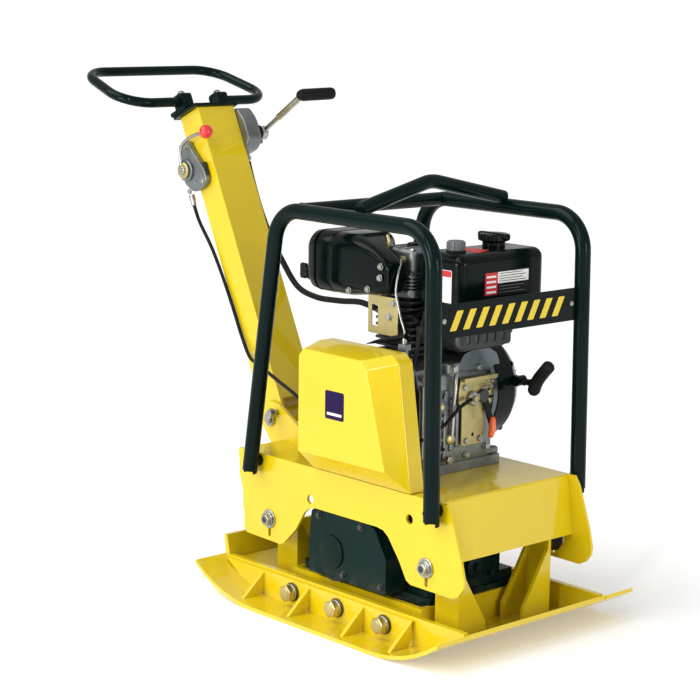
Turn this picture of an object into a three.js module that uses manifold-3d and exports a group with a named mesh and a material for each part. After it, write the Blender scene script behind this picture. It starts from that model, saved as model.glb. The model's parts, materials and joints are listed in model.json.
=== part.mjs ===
// Reversible plate compactor. Millimetres, +X forward, +Y to the machine's left, +Z up.
// The origin is the centre of the flat sole, on the ground.
import * as THREE from "three";
import { mergeVertices } from "three/addons/utils/BufferGeometryUtils.js";
import Module from "manifold-3d";

const wasm = await Module();
wasm.setup();

// ---------------------------------------------------------------- driving dimensions
const GAP = 0.3; // clearance between pieces that touch
const SOLE = { half: 355, flat: 175, bend: 313, width: 392, thick: 10, rim: 67 };
const EXT = { outer: 276, thick: 8, flangeTop: 61, rear: -357, front: 357 };
const EXT_BOLT_X = [-129, 6, 142];
const GUSSET_X = [-223, -80, 80, 212];
const CURB = { x: 190, y: 152, wall: 12 };
const MOUNT = { x: 230, z: 165, inner: 129, rubber: 30 };
const DECK = { side: 182, sheet: 6, top: 298, thick: 8, rear: -322, front: 262 };
const CAGE = { y: 205, tube: 16, bore: 12.6, top: 811, bend: 72 };
const CRANK = { x: 15, z: 447 };
const ECC = { x: 45, z: 134, mass: 42 };
const BELT = { y0: -167, y1: -151, pulley: 50, thick: 8 };
const PIVOT = { x: -372, z: 335 };
const LEAN = THREE.MathUtils.degToRad(25.2); // the tow bar leans back this far
const BAR = { half: 34, wide: 50, top: 700, wall: 4 };
const LOOP = { x: -8.4, z: 729, front: 206, rear: 181, deep: 202, rise: 42.1, tube: 11, bore: 8 };

// ---------------------------------------------------------------- finishes
const finish = (color, roughness, metalness) =>
  new THREE.MeshStandardMaterial({ color, roughness, metalness });
const YELLOW = finish(0xf2d020, 0.35, 0.1);
const BLACK_GREEN = finish(0x0d2422, 0.3, 0.1);
const STEEL = finish(0xb9bcc0, 0.35, 0.9);
const DARK_STEEL = finish(0x55585c, 0.5, 0.8);
const ALUMINIUM = finish(0xa9acad, 0.5, 0.8);
const GLOSS_BLACK = finish(0x101414, 0.2, 0.1);
const RUBBER = finish(0x161616, 0.85, 0);
const ZINC = finish(0xc2b06a, 0.4, 0.8);
const RED = finish(0xc8202a, 0.3, 0);

// ---------------------------------------------------------------- solids
function solid(geometry) {
  const flat = geometry.index ? geometry.toNonIndexed() : geometry.clone();
  flat.deleteAttribute("normal");
  flat.deleteAttribute("uv");
  const merged = mergeVertices(flat, 1e-3);
  const vertProperties = new Float32Array(merged.attributes.position.array);
  const make = (triVerts) => new wasm.Manifold(new wasm.Mesh({ numProp: 3, vertProperties, triVerts }));
  const tris = new Uint32Array(merged.index.array);
  const body = make(tris);
  if (body.volume() >= 0) return body;
  for (let i = 0; i < tris.length; i += 3) [tris[i + 1], tris[i + 2]] = [tris[i + 2], tris[i + 1]];
  return make(tris);
}

function geometryOf(body) {
  const mesh = body.getMesh();
  const stride = mesh.numProp;
  const xyz = new Float32Array(mesh.numVert * 3);
  for (let i = 0; i < mesh.numVert; i++) {
    xyz.set(mesh.vertProperties.subarray(i * stride, i * stride + 3), i * 3);
  }
  const geometry = new THREE.BufferGeometry();
  geometry.setAttribute("position", new THREE.BufferAttribute(xyz, 3));
  geometry.setIndex(new THREE.BufferAttribute(new Uint32Array(mesh.triVerts), 1));
  return geometry;
}

const join = (...parts) => geometryOf(parts.map(solid).reduce((a, b) => a.add(b)));
const cut = (body, ...tools) => geometryOf(tools.map(solid).reduce((a, b) => a.subtract(b), solid(body)));

// ---------------------------------------------------------------- shapes
const V = (x, y, z) => new THREE.Vector3(x, y, z);

function box(x0, x1, y0, y1, z0, z1) {
  const block = new THREE.BoxGeometry(x1 - x0, y1 - y0, z1 - z0);
  return block.translate((x0 + x1) / 2, (y0 + y1) / 2, (z0 + z1) / 2);
}

function outline(points, holes = []) {
  const shape = new THREE.Shape(points.map(([a, b]) => new THREE.Vector2(a, b)));
  shape.holes = holes.map((hole) => new THREE.Path(hole.map(([a, b]) => new THREE.Vector2(a, b))));
  return shape;
}

const extruded = (points, depth, holes) =>
  new THREE.ExtrudeGeometry(outline(points, holes), { depth, bevelEnabled: false });

// A plate whose outline is given in (x, z), between two values of y.
function plateXZ(points, y0, y1, holes) {
  return extruded(points, y1 - y0, holes).rotateX(Math.PI / 2).translate(0, y1, 0);
}

// A plate whose outline is given in (y, z), between two values of x.
function plateYZ(points, x0, x1, holes) {
  const turn = new THREE.Matrix4().makeBasis(V(0, 1, 0), V(0, 0, 1), V(1, 0, 0));
  return extruded(points, x1 - x0, holes).applyMatrix4(turn).translate(x0, 0, 0);
}

function plateXY(points, z0, z1, holes) {
  return extruded(points, z1 - z0, holes).translate(0, 0, z0);
}

function cylY(x, z, radius, y0, y1, sides = 20) {
  return new THREE.CylinderGeometry(radius, radius, y1 - y0, sides).translate(x, (y0 + y1) / 2, z);
}

function cylZ(x, y, radius, z0, z1, sides = 20) {
  const bar = new THREE.CylinderGeometry(radius, radius, z1 - z0, sides);
  return bar.rotateX(Math.PI / 2).translate(x, y, (z0 + z1) / 2);
}

function cylX(y, z, radius, x0, x1, sides = 20) {
  const bar = new THREE.CylinderGeometry(radius, radius, x1 - x0, sides);
  return bar.rotateZ(Math.PI / 2).translate((x0 + x1) / 2, y, z);
}

// A profile of (radius, y) turned about a line along Y through (x, z).
function turnedY(profile, x, z, sides = 28) {
  return new THREE.LatheGeometry(profile.map(([r, y]) => new THREE.Vector2(r, y)), sides).translate(x, 0, z);
}

const circle = (a, b, r, sides = 20) =>
  Array.from({ length: sides }, (_, i) => {
    const t = (i / sides) * 2 * Math.PI;
    return [a + r * Math.cos(t), b + r * Math.sin(t)];
  });

// A rectangle with rounded corners in two coordinates.
function rounded(a0, a1, b0, b1, r, steps = 3) {
  const corners = [[a1 - r, b1 - r, 0], [a0 + r, b1 - r, 90], [a0 + r, b0 + r, 180], [a1 - r, b0 + r, 270]];
  return corners.flatMap(([a, b, from]) =>
    Array.from({ length: steps + 1 }, (_, i) => {
      const t = THREE.MathUtils.degToRad(from + (90 * i) / steps);
      return [a + r * Math.cos(t), b + r * Math.sin(t)];
    }),
  );
}

// A block with every edge along Z rounded, and its top and bottom rims chamfered.
function softBlock(x0, x1, y0, y1, z0, z1, r, rim) {
  const inset = rounded(x0 + rim, x1 - rim, y0 + rim, y1 - rim, Math.max(r - rim, 1));
  const shape = outline(inset);
  const bevel = { depth: z1 - z0 - 2 * rim, bevelEnabled: true, bevelThickness: rim, bevelSize: rim };
  return new THREE.ExtrudeGeometry(shape, { ...bevel, bevelSegments: 2 }).translate(0, 0, z0 + rim);
}

// A route through given points, used to run a round section along them.
class Route extends THREE.Curve {
  constructor(points) {
    super();
    this.points = points;
  }
  getPoint(t) {
    const last = this.points.length - 1;
    const i = Math.min(Math.floor(t * last + 1e-9), last - 1);
    return this.points[i].clone().lerp(this.points[i + 1], t * last - i);
  }
  getPointAt(t) {
    return this.getPoint(t);
  }
  getTangentAt(t) {
    const last = this.points.length - 1;
    const i = Math.round(t * last);
    const before = this.points[Math.max(i - 1, 0)];
    const here = this.points[i];
    const after = this.points[Math.min(i + 1, last)];
    const inward = here.clone().sub(before).normalize();
    const outward = after.clone().sub(here).normalize();
    return inward.add(outward).normalize();
  }
  getSpacedPoints(count) {
    return Array.from({ length: count + 1 }, (_, i) => this.getPoint(i / count));
  }
}

// A round bar along a path, or a tube open at both ends when a bore is given.
function rod(points, radius, sides = 12, bore = 0) {
  const route = new Route(points);
  const holes = bore > 0 ? [circle(0, 0, bore, 8)] : [];
  return new THREE.ExtrudeGeometry(outline(circle(0, 0, radius, sides), holes), {
    steps: points.length - 1,
    extrudePath: route,
    bevelEnabled: false,
  });
}

// Rounds the inner corners of a path with arcs of the given radius.
function bent(points, radius, steps = 6) {
  const path = [points[0]];
  for (let i = 1; i < points.length - 1; i++) {
    const back = points[i - 1].clone().sub(points[i]);
    const on = points[i + 1].clone().sub(points[i]);
    const angle = back.angleTo(on);
    const reach = Math.min(radius / Math.tan(angle / 2), back.length() * 0.49, on.length() * 0.49);
    const r = reach * Math.tan(angle / 2);
    back.normalize();
    on.normalize();
    const inward = back.clone().add(on).normalize();
    const centre = points[i].clone().add(inward.multiplyScalar(r / Math.sin(angle / 2)));
    const start = points[i].clone().addScaledVector(back, reach).sub(centre);
    const end = points[i].clone().addScaledVector(on, reach).sub(centre);
    const sweep = Math.PI - angle;
    for (let k = 0; k <= steps; k++) {
      const f = k / steps;
      const a = Math.sin((1 - f) * sweep) / Math.sin(sweep);
      const b = Math.sin(f * sweep) / Math.sin(sweep);
      path.push(centre.clone().addScaledVector(start, a).addScaledVector(end, b));
    }
  }
  path.push(points[points.length - 1]);
  return path;
}

// Smooth curve through points, for hoses and cables.
const flowing = (points, count) => new THREE.CatmullRomCurve3(points, false, "centripetal").getPoints(count);

function hexHead(x, z, radius, y0, y1) {
  return new THREE.CylinderGeometry(radius, radius, y1 - y0, 6).rotateY(0.3).translate(x, (y0 + y1) / 2, z);
}

const mirrorY = (geometry) => geometryOf(solid(geometry.clone().scale(1, -1, 1)));

// ---------------------------------------------------------------- assembly
const machine = new THREE.Group();
machine.name = "plate_compactor";

function add(name, geometry, material, parent = machine) {
  const mesh = new THREE.Mesh(geometry, material);
  mesh.name = name;
  parent.add(mesh);
  return mesh;
}

// ---------------------------------------------------------------- base
// Height of the underside of the sole at x: flat in the middle, an arc at each end.
function soleHeight(x) {
  const over = Math.max(Math.abs(x) - SOLE.flat, 0);
  return SOLE.bend - Math.sqrt(SOLE.bend ** 2 - over ** 2);
}

function soleOutline(rear, front, thick) {
  const stations = [];
  for (let i = 0; i <= 6; i++) stations.push(rear + (i / 6) * (-SOLE.flat - rear));
  for (let i = 0; i <= 6; i++) stations.push(SOLE.flat + (i / 6) * (front - SOLE.flat));
  const under = stations.map((x) => [x, soleHeight(x)]);
  const over = stations.map((x) => [x, soleHeight(x) + thick]).reverse();
  return [...under, ...over];
}

function sideWall(y0, y1) {
  const reach = SOLE.half - 8;
  const under = soleOutline(-reach, reach, 2).slice(0, 14);
  const lower = under.map(([x, z]) => [x, Math.min(z + 2, SOLE.rim - 1)]);
  return plateXZ([...lower, [reach, SOLE.rim], [-reach, SOLE.rim]], y0, y1);
}

function mountPost(sx, sy) {
  const { inner, x, z } = MOUNT;
  const near = x - 27;
  const far = x + 36;
  const foot = (at) => soleHeight(at) + 4;
  const upright = plateXZ([[near, foot(near)], [far, foot(far)], [far, 206], [near, 206]], inner - 8, inner);
  const web = (at) => [[inner - 7, 156], [inner - 75, 44], [inner - 75, foot(at)], [inner - 7, foot(at)]];
  const front = plateYZ(web(far), far - 8, far);
  const back = plateYZ(web(near + 8), near, near + 8);
  const post = cut(join(upright, front, back), cylY(x, z, 8.3, inner - 20, inner + 5, 16));
  return geometryOf(solid(post.scale(sx, sy, 1)));
}

function basePlate() {
  const w = SOLE.width / 2;
  const sole = plateXZ(soleOutline(-SOLE.half, SOLE.half, SOLE.thick), -w, w);
  const { x, y, wall } = CURB;
  const ring = [[-x, -y], [x, -y], [x, y], [-x, y]];
  const hole = [[-x + wall, -y + wall], [-x + wall, y - wall], [x - wall, y - wall], [x - wall, -y + wall]];
  const curb = plateXY(ring, 5, SOLE.rim, [hole]);
  const lip = plateXZ([[-355, 57], [-341, 60], [-352, 107], [-361, 107]], -w, w);
  const posts = [[1, 1], [1, -1], [-1, 1], [-1, -1]].map(([sx, sy]) => mountPost(sx, sy));
  const bores = EXT_BOLT_X.flatMap((bx) => [
    cylY(bx, 37, 10.4, -w - 5, -w + 20, 12),
    cylY(bx, 37, 10.4, w - 20, w + 5, 12),
  ]);
  return cut(join(sole, sideWall(w - 12, w), sideWall(-w, -w + 12), curb, lip, ...posts), ...bores);
}
add("base_plate", basePlate(), YELLOW);

function extensionPlate() {
  const inner = SOLE.width / 2 + GAP;
  const sole = plateXZ(soleOutline(EXT.rear, EXT.front, EXT.thick), -EXT.outer, -inner);
  const side = [
    [-342, 62], [-300, 34], [-262, 16], [-215, 6], [190, 6], [196, 30],
    [217, EXT.flangeTop], [-342, EXT.flangeTop + 1],
  ];
  const flange = plateXZ(side, -inner - 8, -inner);
  const foot = -inner - 7;
  const web = [[foot, 59], [foot, 22], [foot - 14, 7], [foot - 56, 7], [foot - 56, 10]];
  const webs = GUSSET_X.map((x) => plateYZ(web, x - 4, x + 4));
  const lowWebs = webs.map((g, i) => g.translate(0, 0, i === 0 || i === 3 ? 0.5 : 0));
  const holes = EXT_BOLT_X.map((x) => cylY(x, 37, 10.4, -inner - 20, -inner + 5, 12));
  return cut(join(sole, flange, ...lowWebs), ...holes);
}
add("extension_plate_right", extensionPlate(), YELLOW);
add("extension_plate_left", mirrorY(extensionPlate()), YELLOW);

function extensionBolt(x) {
  const face = -(SOLE.width / 2 + GAP + 8 + GAP);
  const head = hexHead(x, 37, 17, face - 24, face - 10);
  const washers = cylY(x, 37, 19, face - 11, face, 16);
  const shank = cylY(x, 37, 10, face - 1, face + 40, 12);
  return join(head, washers, shank, hexHead(x, 37, 16, face + 22, face + 34));
}
EXT_BOLT_X.forEach((x, i) => {
  add("extension_bolt_right_" + (i + 1), extensionBolt(x), STEEL);
  add("extension_bolt_left_" + (i + 1), mirrorY(extensionBolt(x)), STEEL);
});

// ---------------------------------------------------------------- exciter
const EXC = { foot: 186, footWide: 128, z0: SOLE.rim + GAP, top: 192 };

function exciterHousing() {
  const foot = plateXY(rounded(-EXC.foot, EXC.foot, -EXC.footWide, EXC.footWide, 10, 2), EXC.z0, 80);
  const lower = box(-178, 178, -112, 112, 79, 100);
  const corner = [
    [-150, 99], [-150, 160], [-120, 188], [-100, EXC.top],
    [100, EXC.top], [140, 182], [178, 150], [178, 99],
  ];
  const upper = plateXZ(corner, -76, 76);
  const bosses = [-1, 1].map((s) => cylY(s * ECC.x, ECC.z, 43, -118, 118, 24));
  const cavity = box(-93, 93, -70, 70, 88, 181);
  const bores = [cylY(-ECC.x, ECC.z, 17.5, -130, 130, 18), cylY(ECC.x, ECC.z, 17.5, -130, 130, 18)];
  return cut(join(foot, lower, upper, ...bosses), cavity, ...bores);
}
add("exciter_housing", exciterHousing(), BLACK_GREEN);

// An eccentric shaft: journal, half-round mass and a timing gear.
function eccentricShaft(x, y0) {
  const shaft = cylY(x, ECC.z, 17, y0, 126, 18);
  const lobe = plateXZ([...circle(x, ECC.z, ECC.mass, 24)].filter(([, b]) => b <= ECC.z + 0.01), -50, 48);
  const gear = cylY(x, ECC.z, 44.6, 52, 66, 24);
  return [shaft, lobe, gear];
}
const wheelY = (BELT.y0 + BELT.y1) / 2;
const wheel = (x, z) => [
  cylY(x, z, BELT.pulley, wheelY - 9, wheelY + 9, 28),
  cylY(x, z, BELT.pulley + 11, wheelY - 11.5, wheelY - 8.6, 28),
  cylY(x, z, BELT.pulley + 11, wheelY + 8.6, wheelY + 11.5, 28),
];
add("exciter_shaft_rear", join(...eccentricShaft(-ECC.x, wheelY - 8), ...wheel(-ECC.x, ECC.z)), DARK_STEEL);
add("exciter_shaft_front", join(...eccentricShaft(ECC.x, -126)), DARK_STEEL);

function pulleyCover() {
  const shell = (g, floor) => [
    [-114 + g, floor], [-114 + g, 150], [-108 + g, 206 - g], [-98, 216 - g],
    [58, 216 - g], [80 - g, 205 - g], [112 - g, 150], [112 - g, floor],
  ];
  const outer = plateXZ(shell(0, 80.4), -175.4, -121);
  const inner = plateXZ(shell(3, 70), -172.8, -110);
  const mouth = box(-101, 40, -172.8, -110, 190, 230);
  const foot = plateXZ([[-140, 80.4], [-108, 80.4], [-108, 92], [-140, 92]], -150, -121);
  const heel = plateXZ([[66, 80.4], [112, 80.4], [112, 92], [66, 92]], -134, -121);
  return join(cut(outer, inner, mouth), foot, heel);
}
add("pulley_cover", pulleyCover(), BLACK_GREEN);

// The shift cylinder turns one mass against the other to choose the travel direction.
add("exciter_shift_cylinder", join(
  cylY(ECC.x, ECC.z, 34, 127, 150, 28),
  cylY(ECC.x, ECC.z, 22, 149, 168, 24),
  cylX(158, ECC.z, 7, ECC.x - 48, ECC.x - 10, 14),
), ALUMINIUM);

// ---------------------------------------------------------------- shock mounts
function shockMount(sx, sy) {
  const { x, z, inner, rubber } = MOUNT;
  const a = inner + GAP;
  const b = DECK.side - DECK.sheet - GAP;
  const profile = [[0, a - 16], [7.9, a - 16], [7.9, a], [rubber, a], [rubber, a + 4], [rubber - 5, a + 14],
    [rubber - 5, b - 14], [rubber, b - 4], [rubber, b], [8.6, b], [8.6, b - 16], [0, b - 16]];
  return geometryOf(solid(turnedY(profile, x, z, 14).scale(sx, sy, 1)));
}

function mountBolt(sx, sy) {
  const { x, z } = MOUNT;
  const face = DECK.side + GAP;
  const bolt = join(
    cylY(x, z, 20, face, face + 3, 16),
    hexHead(x, z, 13, face + 2, face + 16),
    cylY(x, z, 8, face - 15.6, face + 4, 12),
  );
  return geometryOf(solid(bolt.scale(sx, sy, 1)));
}
for (const [end, sx] of [["front", 1], ["rear", -1]]) {
  for (const [side, sy] of [["left", 1], ["right", -1]]) {
    add("shock_mount_" + end + "_" + side, shockMount(sx, sy), RUBBER);
    add("mount_bolt_" + end + "_" + side, mountBolt(sx, sy), STEEL);
  }
}

// ---------------------------------------------------------------- deck
const SIDE_OUTLINE = [
  [-331, 298], [-327, 240], [-313, 200], [-311, 130], [-303, 121], [-198, 118], [-186, 122], [-147, 160],
  [-122, 200], [-108, 211], [-88, 216], [92, 216], [110, 213], [124, 203], [155, 163], [176, 128], [188, 122],
  [300, 121], [316, 129], [328, 145], [330, 161], [320, 200], [292, 280], [280, 298],
];

function deckFrame() {
  const { side, sheet, top, thick, rear, front } = DECK;
  const holes = [circle(-104, 231, 9.5, 16), circle(182, 250, 9.5, 16)];
  const slots = [-1, 1].map((s) => rounded(s * MOUNT.x - 4, s * MOUNT.x + 4, 127, 149, 3, 1));
  const bore = [-1, 1].map((s) => circle(s * MOUNT.x, MOUNT.z, 8.4, 16));
  const right = plateXZ(SIDE_OUTLINE, -side, -side + sheet, [...holes, ...bore, ...slots]);
  const left = plateXZ(SIDE_OUTLINE, side - sheet, side, [...holes, ...bore, ...slots]);
  const w = side - sheet + 1;
  const plate = box(rear, front, -w, w, top - thick, top);
  const bend = [
    [front - 1, top], [front - 7, top - 7], [front + 10, 178], [front + 16, 178], [front + 2, top - 3],
  ];
  const apron = plateXZ(bend, -w, w);
  const tail = box(rear, rear + 7, -w, w, 168, top - 1);
  const ear = [
    [-282, 297], [-282, 332], [-345, 370], [-378, 373], [-402, 354],
    [-402, 322], [-332, 236], [-321, 236], [-321, 297],
  ];
  const ears = [plateXZ(ear, -61, -53), plateXZ(ear, 53, 61)];
  const beltSlot = box(-86, 58, -173, -147, 280, 310);
  const hoseHole = cylZ(-118, 40, 13, 280, 310, 20);
  const pivot = cylY(PIVOT.x, PIVOT.z, 10.4, -80, 80, 24);
  const lockHole = cylY(-352, 352, 6.4, -80, -40, 16);
  return cut(join(right, left, plate, apron, tail, ...ears), beltSlot, hoseHole, pivot, lockHole);
}
add("deck_frame", deckFrame(), YELLOW);

add("hinge_pin", join(
  cylY(PIVOT.x, PIVOT.z, 10, -66, 66, 24),
  cylY(PIVOT.x, PIVOT.z, 16, -73, -61.4, 24),
  hexHead(PIVOT.x, PIVOT.z, 16, 61.4, 73),
), STEEL);

// ---------------------------------------------------------------- roll cage
function hoop() {
  const { y, tube, top, bend } = CAGE;
  const path = bent([V(264, -y, 257), V(256, -y, top), V(-182, -y, top), V(-268, -y, 257)], bend, 5);
  const notch = box(-300, 300, -y - 30, -y - 3, 240, 265.5);
  const pads = [260, -263.5].map((x) => cylY(x, 284, 13, -y, -DECK.side - GAP, 14));
  return join(cut(rod(path, tube, 12, CAGE.bore), notch), ...pads);
}
add("cage_hoop_right", hoop(), BLACK_GREEN);
add("cage_hoop_left", mirrorY(hoop()), BLACK_GREEN);

const inCage = CAGE.y - CAGE.tube - GAP;
add("cage_cross_tube", cylY(-132, CAGE.top, 14.5, -inCage, inCage, 18), BLACK_GREEN);

function liftingBar() {
  const path = bent([V(50, -CAGE.y, 822), V(38, 0, 874), V(50, CAGE.y, 822)], 90, 5);
  const seats = [-1, 1].map((s) => cylX(s * CAGE.y, CAGE.top, CAGE.tube + 0.4, 0, 100, 20));
  const shave = [[-CAGE.y - 30, -CAGE.y], [CAGE.y, CAGE.y + 30]].map(([a, b]) => box(0, 100, a, b, 780, 850));
  return cut(rod(path, 14.5, 14), ...seats, ...shave);
}
add("lifting_bar", liftingBar(), BLACK_GREEN);

add("sign_plate", plateYZ(rounded(-187, 187, 606, 671, 5, 2), 255, 258.5), GLOSS_BLACK);

// ---------------------------------------------------------------- engine
function crankcase() {
  const pan = plateXY(rounded(-98, 112, -92, 142, 8, 2), DECK.top + GAP, 318);
  const section = [
    [-80, 317], [108, 317], [112, 340], [112, 470], [96, 512],
    [70, 521], [-45, 521], [-72, 505], [-82, 440],
  ];
  const block = plateXZ(section, -92, 110);
  const nose = cylY(CRANK.x, CRANK.z, 48, -112, -80, 24);
  const ribs = [343.5, 367.5, 389, 411].map((z) => box(108, 116, -88, -30, z, z + 6));
  const boss = cylX(-52, 356, 16, 100, 118, 20);
  const bore = cylY(CRANK.x, CRANK.z, 15.5, -130, 130, 24);
  const dip = cylX(-52, 356, 9.4, 98, 130, 16);
  const dipSeat = cut(join(pan, block, nose, boss, ...ribs), bore, dip);
  return dipSeat;
}
add("crankcase", crankcase(), ALUMINIUM);
add("dipstick", join(
  cylX(-52, 356, 9, 100, 120, 16),
  cylX(-52, 356, 15, 118.4, 124, 20),
  box(123, 134, -64, -40, 353, 359),
), GLOSS_BLACK);

function cylinderBlock() {
  const core = box(-34, 34, -50, 20, 521.4, 648);
  const fins = Array.from({ length: 6 }, (_, i) => {
    const z = 534 + i * 18;
    return plateXY(rounded(-54, 54, -66, 38, 12, 1), z, z + 6);
  });
  const head = softBlock(-52, 54, -62, 36, 645, 690, 10, 4);
  return join(core, ...fins, head);
}
add("cylinder_and_head", cylinderBlock(), ALUMINIUM);
add("valve_cover", join(
  softBlock(-30, 50, -56, 20, 690.4, 744, 12, 6),
  cylZ(10, -18, 11, 740, 750, 20),
), GLOSS_BLACK);
add("decompression_lever", join(
  cylY(-10, 724, 5, -71, -56.4, 12),
  box(-14, -6, -71, -65, 720, 768),
), STEEL);

function fuelTank() {
  const body = softBlock(60, 178, -54, 186, 630, 744, 26, 12);
  const neck = cylZ(112, 104, 22, 742, 754, 24);
  const vent = cylZ(130, -14, 19, 742, 766, 20);
  const straps = [box(60, 190, -30, -22, 622, 631), box(60, 190, 150, 158, 622, 631)];
  const inside = box(67, 171, -47, 179, 637, 737);
  return cut(join(body, neck, vent, ...straps), inside, cylZ(112, 104, 17, 730, 760, 16));
}
add("fuel_tank", fuelTank(), GLOSS_BLACK);
add("fuel_cap", join(
  cylZ(112, 104, 31, 754.4, 772, 28),
  box(72, 152, 94, 114, 756, 768),
), GLOSS_BLACK);

function airCleaner() {
  const can = softBlock(-198, -62, -126, 16, 640, 765, 24, 10);
  const snout = softBlock(-80, 48, -126, -72, 652, 752, 14, 8);
  const cap = cylX(-98, 674, 22, -206, -190, 24);
  const inside = box(-191, -69, -119, 9, 647, 758);
  return cut(join(can, snout, cap), inside, box(-170, -100, -90, -20, 630, 650));
}
add("air_cleaner", airCleaner(), GLOSS_BLACK);
add("air_cleaner_knob", join(
  cylX(-98, 674, 9, -222, -206.4, 18),
  box(-236, -216, -102, -94, 658, 690),
), GLOSS_BLACK);
add("air_cleaner_bracket", cut(
  join(box(-26, 58, -104, -100, 575, 651), box(-26, 58, -102, -68, 575, 579)),
  box(-16, 0, -110, -95, 590, 628),
), ZINC);

function muffler() {
  const can = softBlock(62, 162, -34, 110, 548, 616, 22, 8);
  const pipe = cylX(-8, 600, 13, 40, 66, 18);
  const port = box(36, 42, -30, 14, 582, 616);
  const tail = cylY(140, 580, 10, 100, 126, 16);
  const inside = box(69, 155, -27, 103, 555, 609);
  const recess = box(20, 55.5, -60, 60, 540, 640);
  const outlet = cylY(140, 580, 7, 95, 130, 12);
  return cut(join(can, pipe, tail), recess, port, inside, outlet);
}
add("muffler", muffler(), DARK_STEEL);

function recoilHousing() {
  const profile = [
    [0, 206], [58, 204], [86, 198], [100, 176], [113, 162], [113, 114],
    [107, 114], [107, 157], [94, 172], [80, 191], [56, 197], [0, 199],
  ];
  const dome = turnedY(profile, CRANK.x, CRANK.z, 28);
  const duct = box(-30, 52, 60, 150, 548, 618);
  const throat = box(-24, 46, 50, 144, 540, 612);
  const guide = cylY(CRANK.x + 122, CRANK.z + 22, 11, 152, 176, 20);
  const arm = box(CRANK.x + 90, CRANK.x + 118, 154, 172, CRANK.z + 14, CRANK.z + 30);
  const hollow = [[0, 110], [107, 110], [107, 157], [94, 172], [80, 191], [56, 197], [0, 199]];
  const inside = turnedY(hollow, CRANK.x, CRANK.z, 28);
  const eye = cylY(CRANK.x + 122, CRANK.z + 22, 5, 140, 190, 14);
  return cut(join(dome, duct, arm, guide), throat, eye, inside);
}
add("recoil_housing", recoilHousing(), GLOSS_BLACK);

function starterGrip() {
  const x = CRANK.x + 122 + 11.4;
  const z = CRANK.z + 22;
  const stem = cylX(164, z, 8, x, x + 24, 16);
  const grip = [[27, -20], [30, 0], [46, 22], [70, 42]];
  const bar = rod(grip.map(([a, b]) => V(x + a, 164, z + b)), 12, 14);
  return join(stem, bar);
}
add("starter_grip", starterGrip(), RUBBER);

add("crankshaft", join(
  cylY(CRANK.x, CRANK.z, 15, -198, 152, 24),
  cylY(CRANK.x, CRANK.z, 98, 122, 146, 28),
  cylY(CRANK.x, CRANK.z, 52, -198, -177, 24),
), STEEL);

// The belt runs between two flanges; the open cup towards the guard holds the clutch disc.
const drum = [
  [15.5, -147.5], [61, -147.5], [61, -150.4], [50, -150.4], [50, -167.6], [64, -167.6],
  [64, -201], [58, -201], [58, -173], [15.5, -173], [15.5, -147.5],
];
add("clutch_drum", join(turnedY(drum, CRANK.x, CRANK.z, 28)), DARK_STEEL);

function injectionPump() {
  const body = softBlock(58, 102, -118, -92.4, 476, 540, 6, 3);
  const delivery = cylZ(80, -105, 9, 538, 560, 12);
  const nut = new THREE.CylinderGeometry(13, 13, 12, 6).rotateX(Math.PI / 2).translate(80, -105, 560);
  return join(body, delivery, nut);
}
add("injection_pump", injectionPump(), STEEL);

function controlPlate() {
  const sheet = [
    [6, 462], [12, 488], [106, 488], [111, 470], [108, 432],
    [80, 428], [76, 352], [16, 352], [16, 430], [6, 440],
  ];
  const plate = plateYZ(sheet, 118.4, 122, [circle(92, 462, 7, 12), circle(48, 372, 6, 12)]);
  const feet = [[34, 372], [66, 372], [40, 450]].map(([y, z]) => cylX(y, z, 8, 112.4, 119, 16));
  return join(plate, ...feet);
}
add("control_plate", controlPlate(), ZINC);

add("speed_lever", join(
  cylX(72, 448, 15, 122.4, 130, 24),
  plateYZ([[66, 448], [78, 448], [100, 394], [91, 386]], 124, 128),
  plateYZ([[70, 440], [70, 456], [40, 452], [40, 444]], 124, 128),
  rod([V(128.4, 94, 394), V(132, 90, 380), V(133, 82, 364)], 5.5, 12),
), DARK_STEEL);

// ---------------------------------------------------------------- belt drive
function stadium(grow) {
  const a = new THREE.Vector2(CRANK.x, CRANK.z);
  const b = new THREE.Vector2(-ECC.x, ECC.z);
  const tilt = Math.atan2(a.y - b.y, a.x - b.x);
  const r = BELT.pulley + grow;
  const arc = (c, from) =>
    Array.from({ length: 13 }, (_, i) => {
      const t = from + (i / 12) * Math.PI;
      return [c.x + r * Math.cos(t), c.y + r * Math.sin(t)];
    });
  return [...arc(a, tilt - Math.PI / 2), ...arc(b, tilt + Math.PI / 2)];
}
add("drive_belt", plateXZ(stadium(BELT.thick + 0.6), BELT.y0, BELT.y1, [stadium(0.6)]), RUBBER);

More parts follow.
